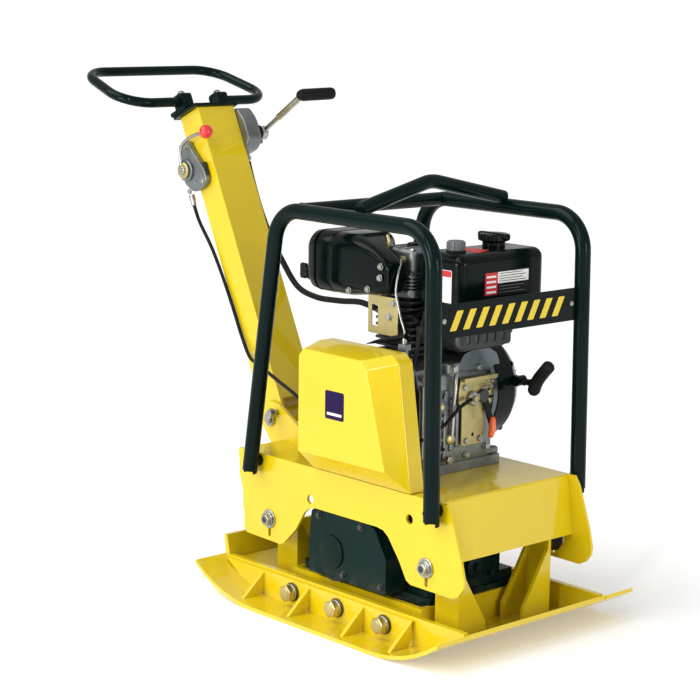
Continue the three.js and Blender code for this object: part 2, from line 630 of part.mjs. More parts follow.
// The guard is a shallow pan: a face, bevels down to a wider root, then straight walls.
function beltGuard() {
  const strips = ([x0, z0], [x1, z1]) => [0, 1, 2, 3, 4, 5].map((i) => [
    x0 + (i / 5) * (x1 - x0), z0 + (i / 5) * (z1 - z0),
  ]);
  const face = (g) => [
    [-94 + g, 340 + g], [-94 + g, 532 - g], [-80 + g, 547 - g],
    [86 - g, 547 - g], ...strips([101 - g, 530 - g], [156 - g, 342 + g]),
  ];
  const root = (g) => [
    [-94 + g, 299], [-94 + g, 546 - g], [-80 + g, 560 - g],
    [128 - g, 560 - g], ...strips([146 - g, 544 - g], [184 - g, 299]),
  ];
  const loft = (a, ya, b, yb, tail) => {
    const loops = [[a, ya], [b, yb], [b, tail]].map(([loop, y]) => loop.map(([x, z]) => V(x, y, z)));
    const count = a.length;
    const points = loops.flat();
    const index = [];
    for (let k = 0; k < 2; k++) {
      for (let i = 0; i < count; i++) {
        const p = k * count + i;
        const q = k * count + ((i + 1) % count);
        index.push(p, p + count, q, q, p + count, q + count);
      }
    }
    for (let i = 1; i < count - 1; i++) {
      index.push(0, i, i + 1);
      index.push(2 * count, 2 * count + i + 1, 2 * count + i);
    }
    const geometry = new THREE.BufferGeometry().setFromPoints(points);
    geometry.setIndex(index);
    return geometry;
  };
  const outer = loft(face(0), -225, root(0), -182, -146);
  const inner = loft(face(3), -222, root(3), -180.5, -140);
  return cut(outer, inner);
}
add("belt_guard", beltGuard(), YELLOW);

// ---------------------------------------------------------------- handle
// Everything below is drawn with the pivot at the origin and the tow bar standing up its own Z.
const handle = new THREE.Group();
handle.name = "handle";
handle.position.set(PIVOT.x, 0, PIVOT.z);
handle.rotation.y = -LEAN;
machine.add(handle);

function towBar() {
  const { half, wide, top, wall } = BAR;
  const tube = box(-half, half, -wide, wide, 34, top);
  const bore = box(-half + wall, half - wall, -wide + wall, wide - wall, 44, top + 10);
  const underside = circle(0, 0, 22, 16).filter(([, b]) => b < 4).sort((p, q) => p[0] - q[0]);
  const cheek = [[-half, 60], [-half, 20], ...underside, [half, 20], [half, 60]];
  const cheeks = [plateXZ(cheek, -wide, -wide + 8), plateXZ(cheek, wide - 8, wide)];
  const barrel = cylY(0, 0, 19, -wide, wide, 28);
  const web = box(-6, 6, -wide, wide, 10, 40);
  const pin = cylY(0, 0, 10.4, -60, 60, 24);
  return cut(join(cut(tube, bore), ...cheeks, barrel, web), pin);
}
add("tow_bar", towBar(), YELLOW, handle);

function handleHead() {
  const z0 = BAR.top + GAP;
  const plate = box(-46, 40, -62, 62, z0, z0 + 8);
  const clamps = [-50, 50].map((y) => box(LOOP.x - 17, LOOP.x + 17, y - 14, y + 14, z0 + 7, LOOP.z + 14));
  const caps = [-50, 50].map((y) => cylZ(LOOP.x, y, 9, LOOP.z + 10, LOOP.z + 24, 6));
  const bores = [[-80, -34], [34, 80]].map(([a, b]) => cylY(LOOP.x, LOOP.z, LOOP.tube + 0.4, a, b, 18));
  return cut(join(plate, ...clamps, ...caps), ...bores);
}
add("handle_head", handleHead(), GLOSS_BLACK, handle);

function handleLoop() {
  const rise = THREE.MathUtils.degToRad(LOOP.rise);
  const at = (s, y) => V(LOOP.x - s * Math.cos(rise), y, LOOP.z + s * Math.sin(rise));
  const corners = [
    at(0, -37), at(0, -LOOP.front), at(LOOP.deep, -LOOP.rear),
    at(LOOP.deep, LOOP.rear), at(0, LOOP.front), at(0, 37),
  ];
  return rod(bent(corners, 66, 5), LOOP.tube, 10, LOOP.bore);
}
add("handle_loop", handleLoop(), BLACK_GREEN, handle);

function throttleBox() {
  const body = plateXZ(rounded(-60, 14, 528, 642, 14, 3), -66, -BAR.wide - GAP);
  const pad = cylY(-42, 582, 24, -72, -65, 28);
  const gland = cylZ(-58, -59, 7, 505, 530, 16);
  return join(body, pad, gland);
}
add("throttle_box", throttleBox(), ALUMINIUM, handle);
add("throttle_lever", join(
  cylY(-42, 582, 18, -82, -72.4, 20),
  rod(bent([V(-42, -78, 582), V(-18, -78, 634), V(36, -78, 634), V(72, -78, 628)], 12, 3), 4.5, 8),
  new THREE.SphereGeometry(15, 12, 8).translate(72, -78, 628),
), RED, handle);

function pumpBox() {
  const body = plateXZ(rounded(-30, 54, 596, 694, 16, 3), BAR.wide + GAP, 93);
  const lid = plateXZ(rounded(-20, 44, 606, 684, 12, 3), 92, 97);
  const port = cylZ(4, 72, 8, 578, 598, 16);
  return join(body, lid, port);
}
add("pump_box", pumpBox(), DARK_STEEL, handle);
add("travel_lever", join(
  cylY(36, 632, 16, 97.4, 116, 24),
  rod([V(36, 108, 632), V(120, 108, 644), V(196, 108, 656)], 6.5, 10),
  rod([V(196, 98, 656), V(196, 200, 658)], 14, 14),
), STEEL, handle);

add("handle_lock", join(
  cylY(0, 0, 6, -74, -51, 14),
  cylY(0, 0, 11, -84, -73, 16),
).translate(-352, 0, 352), STEEL);

// ---------------------------------------------------------------- lines that cross the hinge
// A point drawn in the handle's own frame, brought into the machine's.
function fromHandle(x, y, z) {
  const c = Math.cos(LEAN);
  const s = Math.sin(LEAN);
  return V(PIVOT.x + x * c - z * s, y, PIVOT.z + x * s + z * c);
}

const cableRoute = [
  fromHandle(-58, -59, 504.4), fromHandle(-56, -59, 470), fromHandle(-40, -58, 400),
  fromHandle(-32, -57, 330),
  fromHandle(-27, -57, 260), fromHandle(-24, -57, 190), fromHandle(-10, -62, 140),
  V(-398, -68, 446), V(-340, -78, 430),
  V(-250, -104, 416), V(-170, -128, 400), V(-90, -131, 384), V(0, -130, 376), V(90, -128, 376),
  V(134, -104, 384),
  V(142, -50, 410), V(138, -8, 436), V(133, 30, 447),
];
add("throttle_cable", rod(flowing(cableRoute, 42), 4, 6), RUBBER);

const hoseRoute = [
  fromHandle(4, 72, 577), fromHandle(6, 68, 540), fromHandle(12, 62, 470),
  fromHandle(20, 61, 400), fromHandle(34, 62, 340),
  V(-430, 60, 604), V(-356, 48, 590), V(-262, 34, 594), V(-176, 26, 600), V(-124, 34, 580),
  V(-112, 40, 520),
  V(-114, 42, 440), V(-117, 41, 360), V(-118, 40, 300), V(-119, 44, 250), V(-112, 84, 210),
  V(-70, 128, 178), V(-30, 154, 146),
  V(-8, 158, 134),
];
add("hydraulic_hose", rod(flowing(hoseRoute, 46), 6.5, 8), RUBBER);

export default machine;
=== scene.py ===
"""Looks of the reversible plate compactor. Builders work in millimetres, objects are in metres."""

import json
import math

import bmesh
import bpy
from mathutils import Matrix, Vector


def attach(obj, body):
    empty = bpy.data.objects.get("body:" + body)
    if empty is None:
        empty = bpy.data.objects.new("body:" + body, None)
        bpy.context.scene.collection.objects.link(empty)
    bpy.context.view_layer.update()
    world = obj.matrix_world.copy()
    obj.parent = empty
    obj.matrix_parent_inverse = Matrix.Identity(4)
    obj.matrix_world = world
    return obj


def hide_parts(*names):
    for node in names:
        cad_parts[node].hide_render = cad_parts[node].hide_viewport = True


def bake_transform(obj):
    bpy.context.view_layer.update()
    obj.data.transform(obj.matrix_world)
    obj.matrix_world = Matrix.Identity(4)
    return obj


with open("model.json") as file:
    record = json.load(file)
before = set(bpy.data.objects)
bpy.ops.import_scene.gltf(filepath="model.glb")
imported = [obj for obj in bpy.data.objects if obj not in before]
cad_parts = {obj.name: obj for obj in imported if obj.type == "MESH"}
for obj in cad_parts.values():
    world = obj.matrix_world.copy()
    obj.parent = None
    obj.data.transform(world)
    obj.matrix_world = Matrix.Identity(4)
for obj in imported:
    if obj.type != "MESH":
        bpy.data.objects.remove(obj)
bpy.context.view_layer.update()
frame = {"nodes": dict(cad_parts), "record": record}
scene = bpy.context.scene

# ------------------------------------------------------------------ camera
CAMERA = Vector((2.79188, -2.72544, 1.23809))
YAW, PITCH, ROLL = math.radians(47.582), math.radians(10.3125), math.radians(-0.785)
look = Vector((-math.sin(YAW) * math.cos(PITCH), math.cos(YAW) * math.cos(PITCH), -math.sin(PITCH)))
level = Vector((math.cos(YAW), math.sin(YAW), 0))
down = look.cross(level)
right = level * math.cos(ROLL) + down * math.sin(ROLL)
lower = down * math.cos(ROLL) - level * math.sin(ROLL)
camera = bpy.data.objects.new("camera", bpy.data.cameras.new("camera"))
camera.data.lens = 101.8
camera.data.sensor_width = 36.0
camera.data.clip_end = 2000
turn = Matrix((right, -lower, -look)).transposed().to_4x4()
camera.matrix_world = Matrix.Translation(CAMERA) @ turn
scene.collection.objects.link(camera)
scene.camera = camera

# ------------------------------------------------------------------ frame numbers, in mm
PIVOT = Vector((-372, 0, 335))
LEAN = math.radians(25.2)
HANDLE = Matrix.Translation(PIVOT) @ Matrix.Rotation(-LEAN, 4, "Y")
CRANK = Vector((15, 0, 447))
CAGE_Y = 205


# ------------------------------------------------------------------ materials
def enabled(sockets, name=None):
    return [s for s in sockets if s.enabled and name in (None, s.name)][0]


class Nodes:
    """A small builder for one node tree."""

    def __init__(self, name):
        self.material = bpy.data.materials.new(name)
        self.material.use_nodes = True
        self.tree = self.material.node_tree
        self.tree.nodes.clear()
        self.out = self.add("ShaderNodeOutputMaterial")
        self.shader = self.add("ShaderNodeBsdfPrincipled")
        self.link(self.shader, "BSDF", self.out, "Surface")
        self.place = self.add("ShaderNodeTexCoord")

    def add(self, kind, **settings):
        node = self.tree.nodes.new(kind)
        for key, value in settings.items():
            setattr(node, key, value)
        return node

    def link(self, a, out, b, into):
        self.tree.links.new(a.outputs[out], b.inputs[into])

    def noise(self, scale, detail=4.0, stretch=None):
        node = self.add("ShaderNodeTexNoise")
        node.inputs["Scale"].default_value = scale
        node.inputs["Detail"].default_value = detail
        source = self.place
        if stretch:
            source = self.add("ShaderNodeMapping")
            source.inputs["Scale"].default_value = stretch
            self.link(self.place, "Object", source, "Vector")
            self.link(source, "Vector", node, "Vector")
        else:
            self.link(source, "Object", node, "Vector")
        return node

    def spread(self, node, out, low, high, to_low, to_high):
        ranged = self.add("ShaderNodeMapRange")
        ranged.inputs["From Min"].default_value = low
        ranged.inputs["From Max"].default_value = high
        ranged.inputs["To Min"].default_value = to_low
        ranged.inputs["To Max"].default_value = to_high
        self.link(node, out, ranged, "Value")
        return ranged

    def mix(self, factor, a, b):
        """factor, a and b are (node, output) pairs or plain colours."""
        node = self.add("ShaderNodeMix", data_type="RGBA")
        for name, value in (("Factor", factor), ("A", a), ("B", b)):
            socket = enabled(node.inputs, name)
            if isinstance(value, tuple) and isinstance(value[0], bpy.types.Node):
                self.tree.links.new(value[0].outputs[value[1]], socket)
            elif name == "Factor":
                socket.default_value = value
            else:
                socket.default_value = (*value, 1.0)
        return node


def finish_material(name, colour, rough, metal=0.0, coat=0.0, vary=0.12, cloud=6.0, grain=260.0,
                    bump=0.05, dust=0.0, dust_top=0.1, brushed=None, flecks=0.0,
                    fleck_colour=(0.02, 0.02, 0.02), rough_vary=0.08, shine=0.5, glow=0.0):
    """Every finish shares one recipe: clouds of colour, uneven gloss, fine bump and dust."""
    n = Nodes(name)
    clouds = n.noise(cloud, 5.0)
    blend = n.spread(clouds, "Fac", 0.3, 0.7, 0.0, 1.0)
    darker = tuple(c * (1 - vary) for c in colour)
    lighter = tuple(min(1.0, c * (1 + vary * 0.5)) for c in colour)
    base = n.mix((blend, "Result"), darker, lighter)
    if flecks:
        spots = n.noise(cloud * 9, 2.0)
        spot = n.spread(spots, "Fac", 0.70 - flecks * 0.1, 0.76 - flecks * 0.1, 0.0, 0.8)
        flecked = n.mix((spot, "Result"), colour, fleck_colour)
        n.tree.links.new(enabled(base.outputs), enabled(flecked.inputs, "A"))
        base = flecked
    if dust:
        where = n.add("ShaderNodeNewGeometry")
        split = n.add("ShaderNodeSeparateXYZ")
        n.link(where, "Position", split, "Vector")
        height = n.spread(split, "Z", 0.0, dust_top, dust, 0.0)
        speck = n.noise(38.0, 6.0)
        patch = n.spread(speck, "Fac", 0.42, 0.66, 0.0, 1.0)
        both = n.add("ShaderNodeMath", operation="MULTIPLY")
        n.link(height, "Result", both, 0)
        n.link(patch, "Result", both, 1)
        dusty = n.mix((both, "Value"), colour, (0.42, 0.36, 0.27))
        n.tree.links.new(enabled(base.outputs), enabled(dusty.inputs, "A"))
        base = dusty
    n.tree.links.new(enabled(base.outputs), n.shader.inputs["Base Color"])
    n.shader.inputs["Metallic"].default_value = metal
    n.shader.inputs["Coat Weight"].default_value = coat
    n.shader.inputs["Coat Roughness"].default_value = 0.06
    n.shader.inputs["Specular IOR Level"].default_value = shine
    n.shader.inputs["Emission Color"].default_value = (1, 1, 1, 1)
    n.shader.inputs["Emission Strength"].default_value = glow
    uneven = n.noise(cloud * 4, 6.0, brushed)
    gloss = n.spread(uneven, "Fac", 0.3, 0.7, max(0.02, rough - rough_vary), min(1.0, rough + rough_vary))
    n.link(gloss, "Result", n.shader, "Roughness")
    fine = n.noise(grain, 3.0, brushed)
    relief = n.add("ShaderNodeBump")
    relief.inputs["Strength"].default_value = bump
    relief.inputs["Distance"].default_value = 0.001
    n.link(fine, "Fac", relief, "Height")
    n.link(relief, "Normal", n.shader, "Normal")
    return n.material


M = {
    "yellow": finish_material("yellow_paint", (0.64, 0.47, 0.003), 0.26, coat=0.8, vary=0.05, cloud=3.0,
                              grain=180, bump=0.03, dust=0.12, dust_top=0.1, shine=0.2),
    "tube": finish_material("dark_tube_paint", (0.0012, 0.008, 0.008), 0.15, vary=0.3, cloud=5, grain=150,
                            bump=0.03, rough_vary=0.05, shine=0.1),
    "exciter": finish_material("exciter_paint", (0.0012, 0.013, 0.011), 0.28, vary=0.3, cloud=7, grain=120,
                               bump=0.12, dust=0.12, dust_top=0.12, shine=0.1),
    "steel": finish_material("zinc_steel", (0.40, 0.40, 0.37), 0.28, metal=1.0, vary=0.2, cloud=25, grain=500,
                             bump=0.05),
    "dark_steel": finish_material("dark_steel", (0.07, 0.074, 0.077), 0.4, metal=0.9, vary=0.25, cloud=18,
                                  grain=400, bump=0.1),
    "cast": finish_material("cast_alloy", (0.22, 0.24, 0.24), 0.42, metal=0.9, vary=0.3, cloud=16, grain=420,
                            bump=0.35, flecks=0.2, fleck_colour=(0.10, 0.10, 0.09)),
    "cast_dark": finish_material("cast_alloy_dark", (0.045, 0.05, 0.05), 0.5, metal=0.7, vary=0.3, cloud=16,
                                 grain=420, bump=0.35),
    "shroud": finish_material("shroud_steel", (0.14, 0.165, 0.18), 0.3, metal=0.85, vary=0.2, cloud=9,
                              grain=300, bump=0.05),
    "black": finish_material("black_gloss", (0.0015, 0.005, 0.0045), 0.16, vary=0.3, cloud=6, grain=160,
                             bump=0.04, shine=0.12),
    "plastic": finish_material("black_plastic", (0.004, 0.005, 0.005), 0.4, vary=0.25, cloud=12, grain=600,
                               bump=0.15, shine=0.15),
    "rubber": finish_material("black_rubber", (0.006, 0.006, 0.006), 0.55, vary=0.3, cloud=14, grain=350,
                              bump=0.2, shine=0.15),
    "gold": finish_material("yellow_zinc", (0.52, 0.44, 0.19), 0.34, metal=0.85, vary=0.22, cloud=14,
                            grain=300, bump=0.06),
    "red": finish_material("red_plastic", (0.62, 0.012, 0.012), 0.22, coat=0.4, vary=0.15, cloud=20,
                           grain=300, bump=0.03),
    "orange": finish_material("orange_plastic", (0.85, 0.13, 0.01), 0.3, coat=0.2, vary=0.15, cloud=20,
                              grain=300, bump=0.03),
    "white": finish_material("label_white", (0.78, 0.78, 0.76), 0.4, vary=0.06, cloud=30, grain=200,
                             bump=0.02),
    "label_red": finish_material("label_red", (0.55, 0.02, 0.025), 0.4, vary=0.1, cloud=30, grain=200,
                                 bump=0.02),
    "grey": finish_material("grey_plastic", (0.10, 0.105, 0.11), 0.4, vary=0.2, cloud=20, grain=300,
                            bump=0.1),
    "violet": finish_material("label_dark", (0.016, 0.006, 0.05), 0.4, vary=0.15, cloud=20, grain=200,
                              bump=0.02, shine=0.08),
}


# ------------------------------------------------------------------ solids, in mm
def smooth_edges(bm, width, segments=2, angle=28):
    bmesh.ops.recalc_face_normals(bm, faces=bm.faces)
    limit = math.radians(angle)
    edges = [e for e in bm.edges if len(e.link_faces) == 2 and e.calc_face_angle(0) > limit]
    if edges and width > 0:
        bmesh.ops.bevel(bm, geom=edges, offset=width, offset_type="OFFSET", segments=segments, profile=0.5,
                        affect="EDGES", clamp_overlap=True)
    return bm


def cad(node, width=1.2, segments=2, angle=28):
    """A CAD node's own shape with its edges broken."""
    bm = bmesh.new()
    bm.from_mesh(frame["nodes"][node].data)
    bmesh.ops.scale(bm, vec=(1000, 1000, 1000), verts=bm.verts)
    bmesh.ops.remove_doubles(bm, verts=bm.verts, dist=0.004)
    bmesh.ops.dissolve_limit(bm, angle_limit=math.radians(0.6), verts=bm.verts, edges=bm.edges)
    return smooth_edges(bm, width, segments, angle)


def block(x0, x1, y0, y1, z0, z1, r=2.0, segments=3):
    bm = bmesh.new()
    bmesh.ops.create_cube(bm, size=1)
    bmesh.ops.scale(bm, vec=(x1 - x0, y1 - y0, z1 - z0), verts=bm.verts)
    bmesh.ops.translate(bm, vec=((x0 + x1) / 2, (y0 + y1) / 2, (z0 + z1) / 2), verts=bm.verts)
    return smooth_edges(bm, min(r, 0.49 * min(x1 - x0, y1 - y0, z1 - z0)), segments)


def aim(origin, axis):
    """A frame at origin whose Z runs along axis."""
    z = Vector(axis).normalized()
    x = Vector((0, 0, 1)).cross(z)
    x = Vector((1, 0, 0)) if x.length < 1e-6 else x.normalized()
    return Matrix.Translation(Vector(origin)) @ Matrix((x, z.cross(x), z)).transposed().to_4x4()


def loft(rings, closed=False):
    """Skin through rings of points; open lofts get end caps."""
    bm = bmesh.new()
    rows = [[bm.verts.new(p) for p in ring] for ring in rings]
    pairs = list(zip(rows, rows[1:])) + ([(rows[-1], rows[0])] if closed else [])
    for a, b in pairs:
        for i in range(len(a)):
            j = (i + 1) % len(a)
            bm.faces.new((a[i], a[j], b[j], b[i]))
    if not closed:
        bm.faces.new(list(reversed(rows[0])))
        bm.faces.new(rows[-1])
    bmesh.ops.recalc_face_normals(bm, faces=bm.faces)
    return bm


def lathe(profile, origin, axis, sides=40):
    """profile is (radius, height) pairs; a zero radius closes on the axis."""
    place = aim(origin, axis)
    bm = bmesh.new()
    rows = []
    for r, h in profile:
        if r < 1e-4:
            rows.append([bm.verts.new(place @ Vector((0, 0, h)))])
        else:
            rows.append([bm.verts.new(place @ Vector((r * math.cos(t), r * math.sin(t), h)))
                         for t in (2 * math.pi * i / sides for i in range(sides))])
    for a, b in zip(rows, rows[1:]):
        for i in range(sides):
            j = (i + 1) % sides
            corners = [a[i % len(a)], a[j % len(a)], b[j % len(b)], b[i % len(b)]]
            unique = list(dict.fromkeys(corners))
            if len(unique) > 2:
                bm.faces.new(unique)
    bmesh.ops.recalc_face_normals(bm, faces=bm.faces)
    return bm


def disc(origin, axis, r, h, edge=1.0, sides=40):
    """A round plug of radius r and height h with a broken edge."""
    e = min(edge, r * 0.4, h * 0.4)
    return lathe([(0, 0), (r - e, 0), (r, e), (r, h - e), (r - e, h), (0, h)], origin, axis, sides)


def ring(origin, axis, outer, inner, h, edge=0.8, sides=40):
    e = min(edge, h * 0.4)
    profile = [(inner, 0), (outer - e, 0), (outer, e), (outer, h - e), (outer - e, h), (inner, h), (inner, 0)]
    return lathe(profile, origin, axis, sides)


def hexagon(origin, axis, r, h, spin=0.0):
    place = aim(origin, axis) @ Matrix.Rotation(spin, 4, "Z")
    corners = [(math.cos(math.pi / 3 * i), math.sin(math.pi / 3 * i)) for i in range(6)]
    rings = []
    for radius, z in ((r, 0), (r, h * 0.86), (r * 0.9, h)):
        rings.append([place @ Vector((radius * a, radius * b, z)) for a, b in corners])
    return smooth_edges(loft(rings), min(0.6, r * 0.06), 2, 40)


def bolt(origin, axis, size, washer=True, spin=0.3, metal="steel"):
    """A hexagon head on a washer; size is the thread diameter."""
    axis = Vector(axis).normalized()
    origin = Vector(origin)
    parts = []
    lift = 0.0
    if washer:
        parts.append((ring(origin, axis, size * 1.15, 0.5, size * 0.18), M[metal]))
        lift = size * 0.18
    head = hexagon(origin + axis * lift, axis, size * 0.92, size * 0.62, spin)
    parts.append((head, M[metal]))
    return parts


def tube(points, radius, sides=20, closed=False):
    """A round section run along points; radius is a number or one per point."""
    points = [Vector(p) for p in points]
    count = len(points)
    radii = radius if isinstance(radius, (list, tuple)) else [radius] * count
    rings = []
    normal = None
    for i, p in enumerate(points):
        before = points[i - 1] if i or closed else points[i]
        after = points[(i + 1) % count] if i < count - 1 or closed else points[i]
        tangent = (after - before).normalized()
        if normal is None:
            trial = Vector((0, 0, 1)) if abs(tangent.z) < 0.9 else Vector((1, 0, 0))
            normal = (trial - tangent * trial.dot(tangent)).normalized()
        else:
            normal = (normal - tangent * normal.dot(tangent)).normalized()
        side = tangent.cross(normal)
        rings.append([p + (normal * math.cos(t) + side * math.sin(t)) * radii[i]
                      for t in (2 * math.pi * k / sides for k in range(sides))])
    return loft(rings, closed)


def bent(points, radius, steps=10):
    """Rounds the inner corners of a path."""
    points = [Vector(p) for p in points]
    path = [points[0]]
    for i in range(1, len(points) - 1):
        back = points[i - 1] - points[i]
        on = points[i + 1] - points[i]
        angle = back.angle(on)
        reach = min(radius / math.tan(angle / 2), back.length * 0.49, on.length * 0.49)
        r = reach * math.tan(angle / 2)
        back.normalize()
        on.normalize()
        centre = points[i] + (back + on).normalized() * (r / math.sin(angle / 2))
        start = points[i] + back * reach - centre
        end = points[i] + on * reach - centre
        sweep = math.pi - angle
        for k in range(steps + 1):
            f = k / steps
            path.append(centre + start * (math.sin((1 - f) * sweep) / math.sin(sweep))
                        + end * (math.sin(f * sweep) / math.sin(sweep)))
    path.append(points[-1])
    return path


def flowing(points, per_span=10):
    """A smooth line through points."""
    points = [Vector(p) for p in points]
    ends = [points[0] * 2 - points[1]] + points + [points[-1] * 2 - points[-2]]
    line = []
    for a, b, c, d in zip(ends, ends[1:], ends[2:], ends[3:]):
        ta = 0.0
        tb = ta + (b - a).length ** 0.5
        tc = tb + (c - b).length ** 0.5
        td = tc + (d - c).length ** 0.5
        for k in range(per_span):
            t = tb + (tc - tb) * k / per_span
            ab = a * ((tb - t) / (tb - ta)) + b * ((t - ta) / (tb - ta))
            bc = b * ((tc - t) / (tc - tb)) + c * ((t - tb) / (tc - tb))
            cd = c * ((td - t) / (td - tc)) + d * ((t - tc) / (td - tc))
            abc = ab * ((tc - t) / (tc - ta)) + bc * ((t - ta) / (tc - ta))
            bcd = bc * ((td - t) / (td - tb)) + cd * ((t - tb) / (td - tb))
            line.append(abc * ((tc - t) / (tc - tb)) + bcd * ((t - tb) / (tc - tb)))
    line.append(points[-1])
    return line


PLANES = {
    "xz": lambda a, b, h: Vector((a, h, b)),
    "yz": lambda a, b, h: Vector((h, a, b)),
    "xy": lambda a, b, h: Vector((a, b, h)),
}


def prism(points, lo, hi, plane="xz", holes=(), edge=0.8, segments=2):
    """A flat plate with an outline and holes, between lo and hi across its plane."""
    put = PLANES[plane]
    bm = bmesh.new()
    loops = [points, *holes]
    edges = []
    for loop in loops:
        verts = [bm.verts.new(put(a, b, lo)) for a, b in loop]
        edges += [bm.edges.new((verts[i], verts[(i + 1) % len(verts)])) for i in range(len(verts))]
    bmesh.ops.triangle_fill(bm, use_beauty=True, use_dissolve=False, edges=edges)
    up = put(0, 0, hi) - put(0, 0, lo)
    made = bmesh.ops.extrude_face_region(bm, geom=bm.faces[:])
    moved = [v for v in made["geom"] if isinstance(v, bmesh.types.BMVert)]
    bmesh.ops.translate(bm, vec=up, verts=moved)
    bmesh.ops.recalc_face_normals(bm, faces=bm.faces)
    bmesh.ops.dissolve_limit(bm, angle_limit=0.01, verts=bm.verts, edges=bm.edges)
    return smooth_edges(bm, edge, segments)


def circle(a, b, r, sides=24):
    turns = [2 * math.pi * i / sides for i in range(sides)]
    return [(a + r * math.cos(t), b + r * math.sin(t)) for t in turns]


def rounded(a0, a1, b0, b1, r, steps=5):
    corners = ((a1 - r, b1 - r, 0), (a0 + r, b1 - r, 90), (a0 + r, b0 + r, 180), (a1 - r, b0 + r, 270))
    out = []
    for a, b, start in corners:
        for i in range(steps + 1):
            t = math.radians(start + 90 * i / steps)
            out.append((a + r * math.cos(t), b + r * math.sin(t)))
    return out


def softened(points, r, steps=4):
    """An outline with its corners rounded."""
    closed = [Vector((a, b, 0)) for a, b in points]
    out = []
    for i, p in enumerate(closed):
        back = closed[i - 1] - p
        on = closed[(i + 1) % len(closed)] - p
        reach = min(r, back.length * 0.45, on.length * 0.45)
        a = p + back.normalized() * reach
        b = p + on.normalized() * reach
        for k in range(steps + 1):
            f = k / steps
            q = a * (1 - f) ** 2 + p * 2 * f * (1 - f) + b * f ** 2
            out.append((q.x, q.y))
    return out


def piece(name, body, parts, replaces=(), place=None, sharp=34):
    """Joins shells into one object that rides on a body and stands for CAD nodes."""
    whole = bmesh.new()
    mats = []
    for bm, mat in parts:
        if mat not in mats:
            mats.append(mat)
        for face in bm.faces:
            face.material_index = mats.index(mat)
            face.smooth = True
        bit = bpy.data.meshes.new("bit")
        bm.to_mesh(bit)
        bm.free()
        whole.from_mesh(bit)
        bpy.data.meshes.remove(bit)
    grow = Matrix.Scale(0.001, 4) @ (place or Matrix.Identity(4))
    bmesh.ops.transform(whole, matrix=grow, verts=whole.verts)
    mesh = bpy.data.meshes.new(name)
    whole.to_mesh(mesh)
    whole.free()
    for mat in mats:
        mesh.materials.append(mat)
    mesh.set_sharp_from_angle(angle=math.radians(sharp))
    obj = bpy.data.objects.new(name, mesh)
    scene.collection.objects.link(obj)
    if body:
        even = obj.modifiers.new("even_shading", "WEIGHTED_NORMAL")
        even.keep_sharp = True
        even.weight = 90
        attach(obj, body)
    if replaces:
        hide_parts(*replaces)
    return obj


def weld(points, r=2.2, sides=8):
    """A weld bead with a rippled crest."""
    path = []
    radii = []
    points = [Vector(p) for p in points]
    for a, b in zip(points, points[1:]):
        steps = max(2, int((b - a).length / 4))
        for k in range(steps):
            path.append(a.lerp(b, k / steps))
    path.append(points[-1])
    for i in range(len(path)):
        radii.append(r * (1.0 if i % 2 else 0.82))
    return tube(path, radii, sides)


BODY = "machine"
Y = (0, 1, 0)
RIGHT = (0, -1, 0)

# ------------------------------------------------------------------ base
piece("sole_plate", BODY, [(cad("base_plate", 1.6), M["yellow"])], ["base_plate"])
for side in ("right", "left"):
    node = f"extension_plate_{side}"
    piece(f"extension_{side}", BODY, [(cad(node, 1.4), M["yellow"])], [node])

for side, sy in (("right", -1), ("left", 1)):
    for i, x in enumerate((-129, 6, 142)):
        face = sy * 204.9
        out = Vector((0, sy, 0))
        at = Vector((x, face, 37))
        parts = [
            (ring(at, out, 19, 9, 4.2), M["dark_steel"]),
            (ring(at + out * 4.2, out, 17.5, 9, 4.4), M["steel"]),
            (hexagon(at + out * 8.8, out, 18, 13.5, 0.35 + i), M["gold"]),
            (disc(at + out * 21.6, out, 11, 1.6, 0.6), M["gold"]),
        ]
        piece(f"sole_bolt_{side}_{i + 1}", BODY, parts, [f"extension_bolt_{side}_{i + 1}"])

# ------------------------------------------------------------------ exciter
exciter = [(cad("exciter_housing", 5.0, 3, 30), M["exciter"])]
for x, y in ((-160, -100), (-75, -112), (20, -112), (100, -112), (160, -100), (160, 0), (160, 60), (160, -60),
             (-160, 100), (-60, 116), (60, 116), (160, 100), (-160, 0)):
    exciter += bolt((x, y, 80.2), (0, 0, 1), 11, metal="dark_steel")
for z, y in ((100, -50), (100, 50), (140, -52), (140, 52)):
    exciter += bolt((178.4, y, z), (1, 0, 0), 8, metal="exciter")
exciter.append((disc((178, 0, 122), (1, 0, 0), 22, 9, 3), M["exciter"]))
exciter += bolt((187, 0, 122), (1, 0, 0), 9, metal="exciter")
piece("exciter_case", BODY, exciter, ["exciter_housing"])

cover = [(cad("pulley_cover", 4.0, 3, 30), M["exciter"])]
for x, z in ((98, 94), (-84, 202), (40, 203), (-10, 94)):
    cover += bolt((x, -175.6, z), RIGHT, 7, metal="dark_steel")
cover.append((disc((-45, -175.2, 134), RIGHT, 34, 5, 2), M["exciter"]))
piece("exciter_belt_cover", BODY, cover, ["pulley_cover"])

shift = [
    (disc((45, 127, 134), Y, 34, 24, 3), M["cast"]),
    (disc((45, 150, 134), Y, 22, 18, 3), M["cast"]),
    (tube([(-3, 158, 134), (24, 158, 134)], 7), M["steel"]),
    (hexagon((-8, 158, 134), (1, 0, 0), 11, 12), M["steel"]),
]
for t in range(6):
    a = math.pi / 3 * t
    shift += bolt((45 + 28 * math.cos(a), 151, 134 + 28 * math.sin(a)), Y, 6, False)
piece("shift_cylinder", BODY, shift, ["exciter_shift_cylinder"])

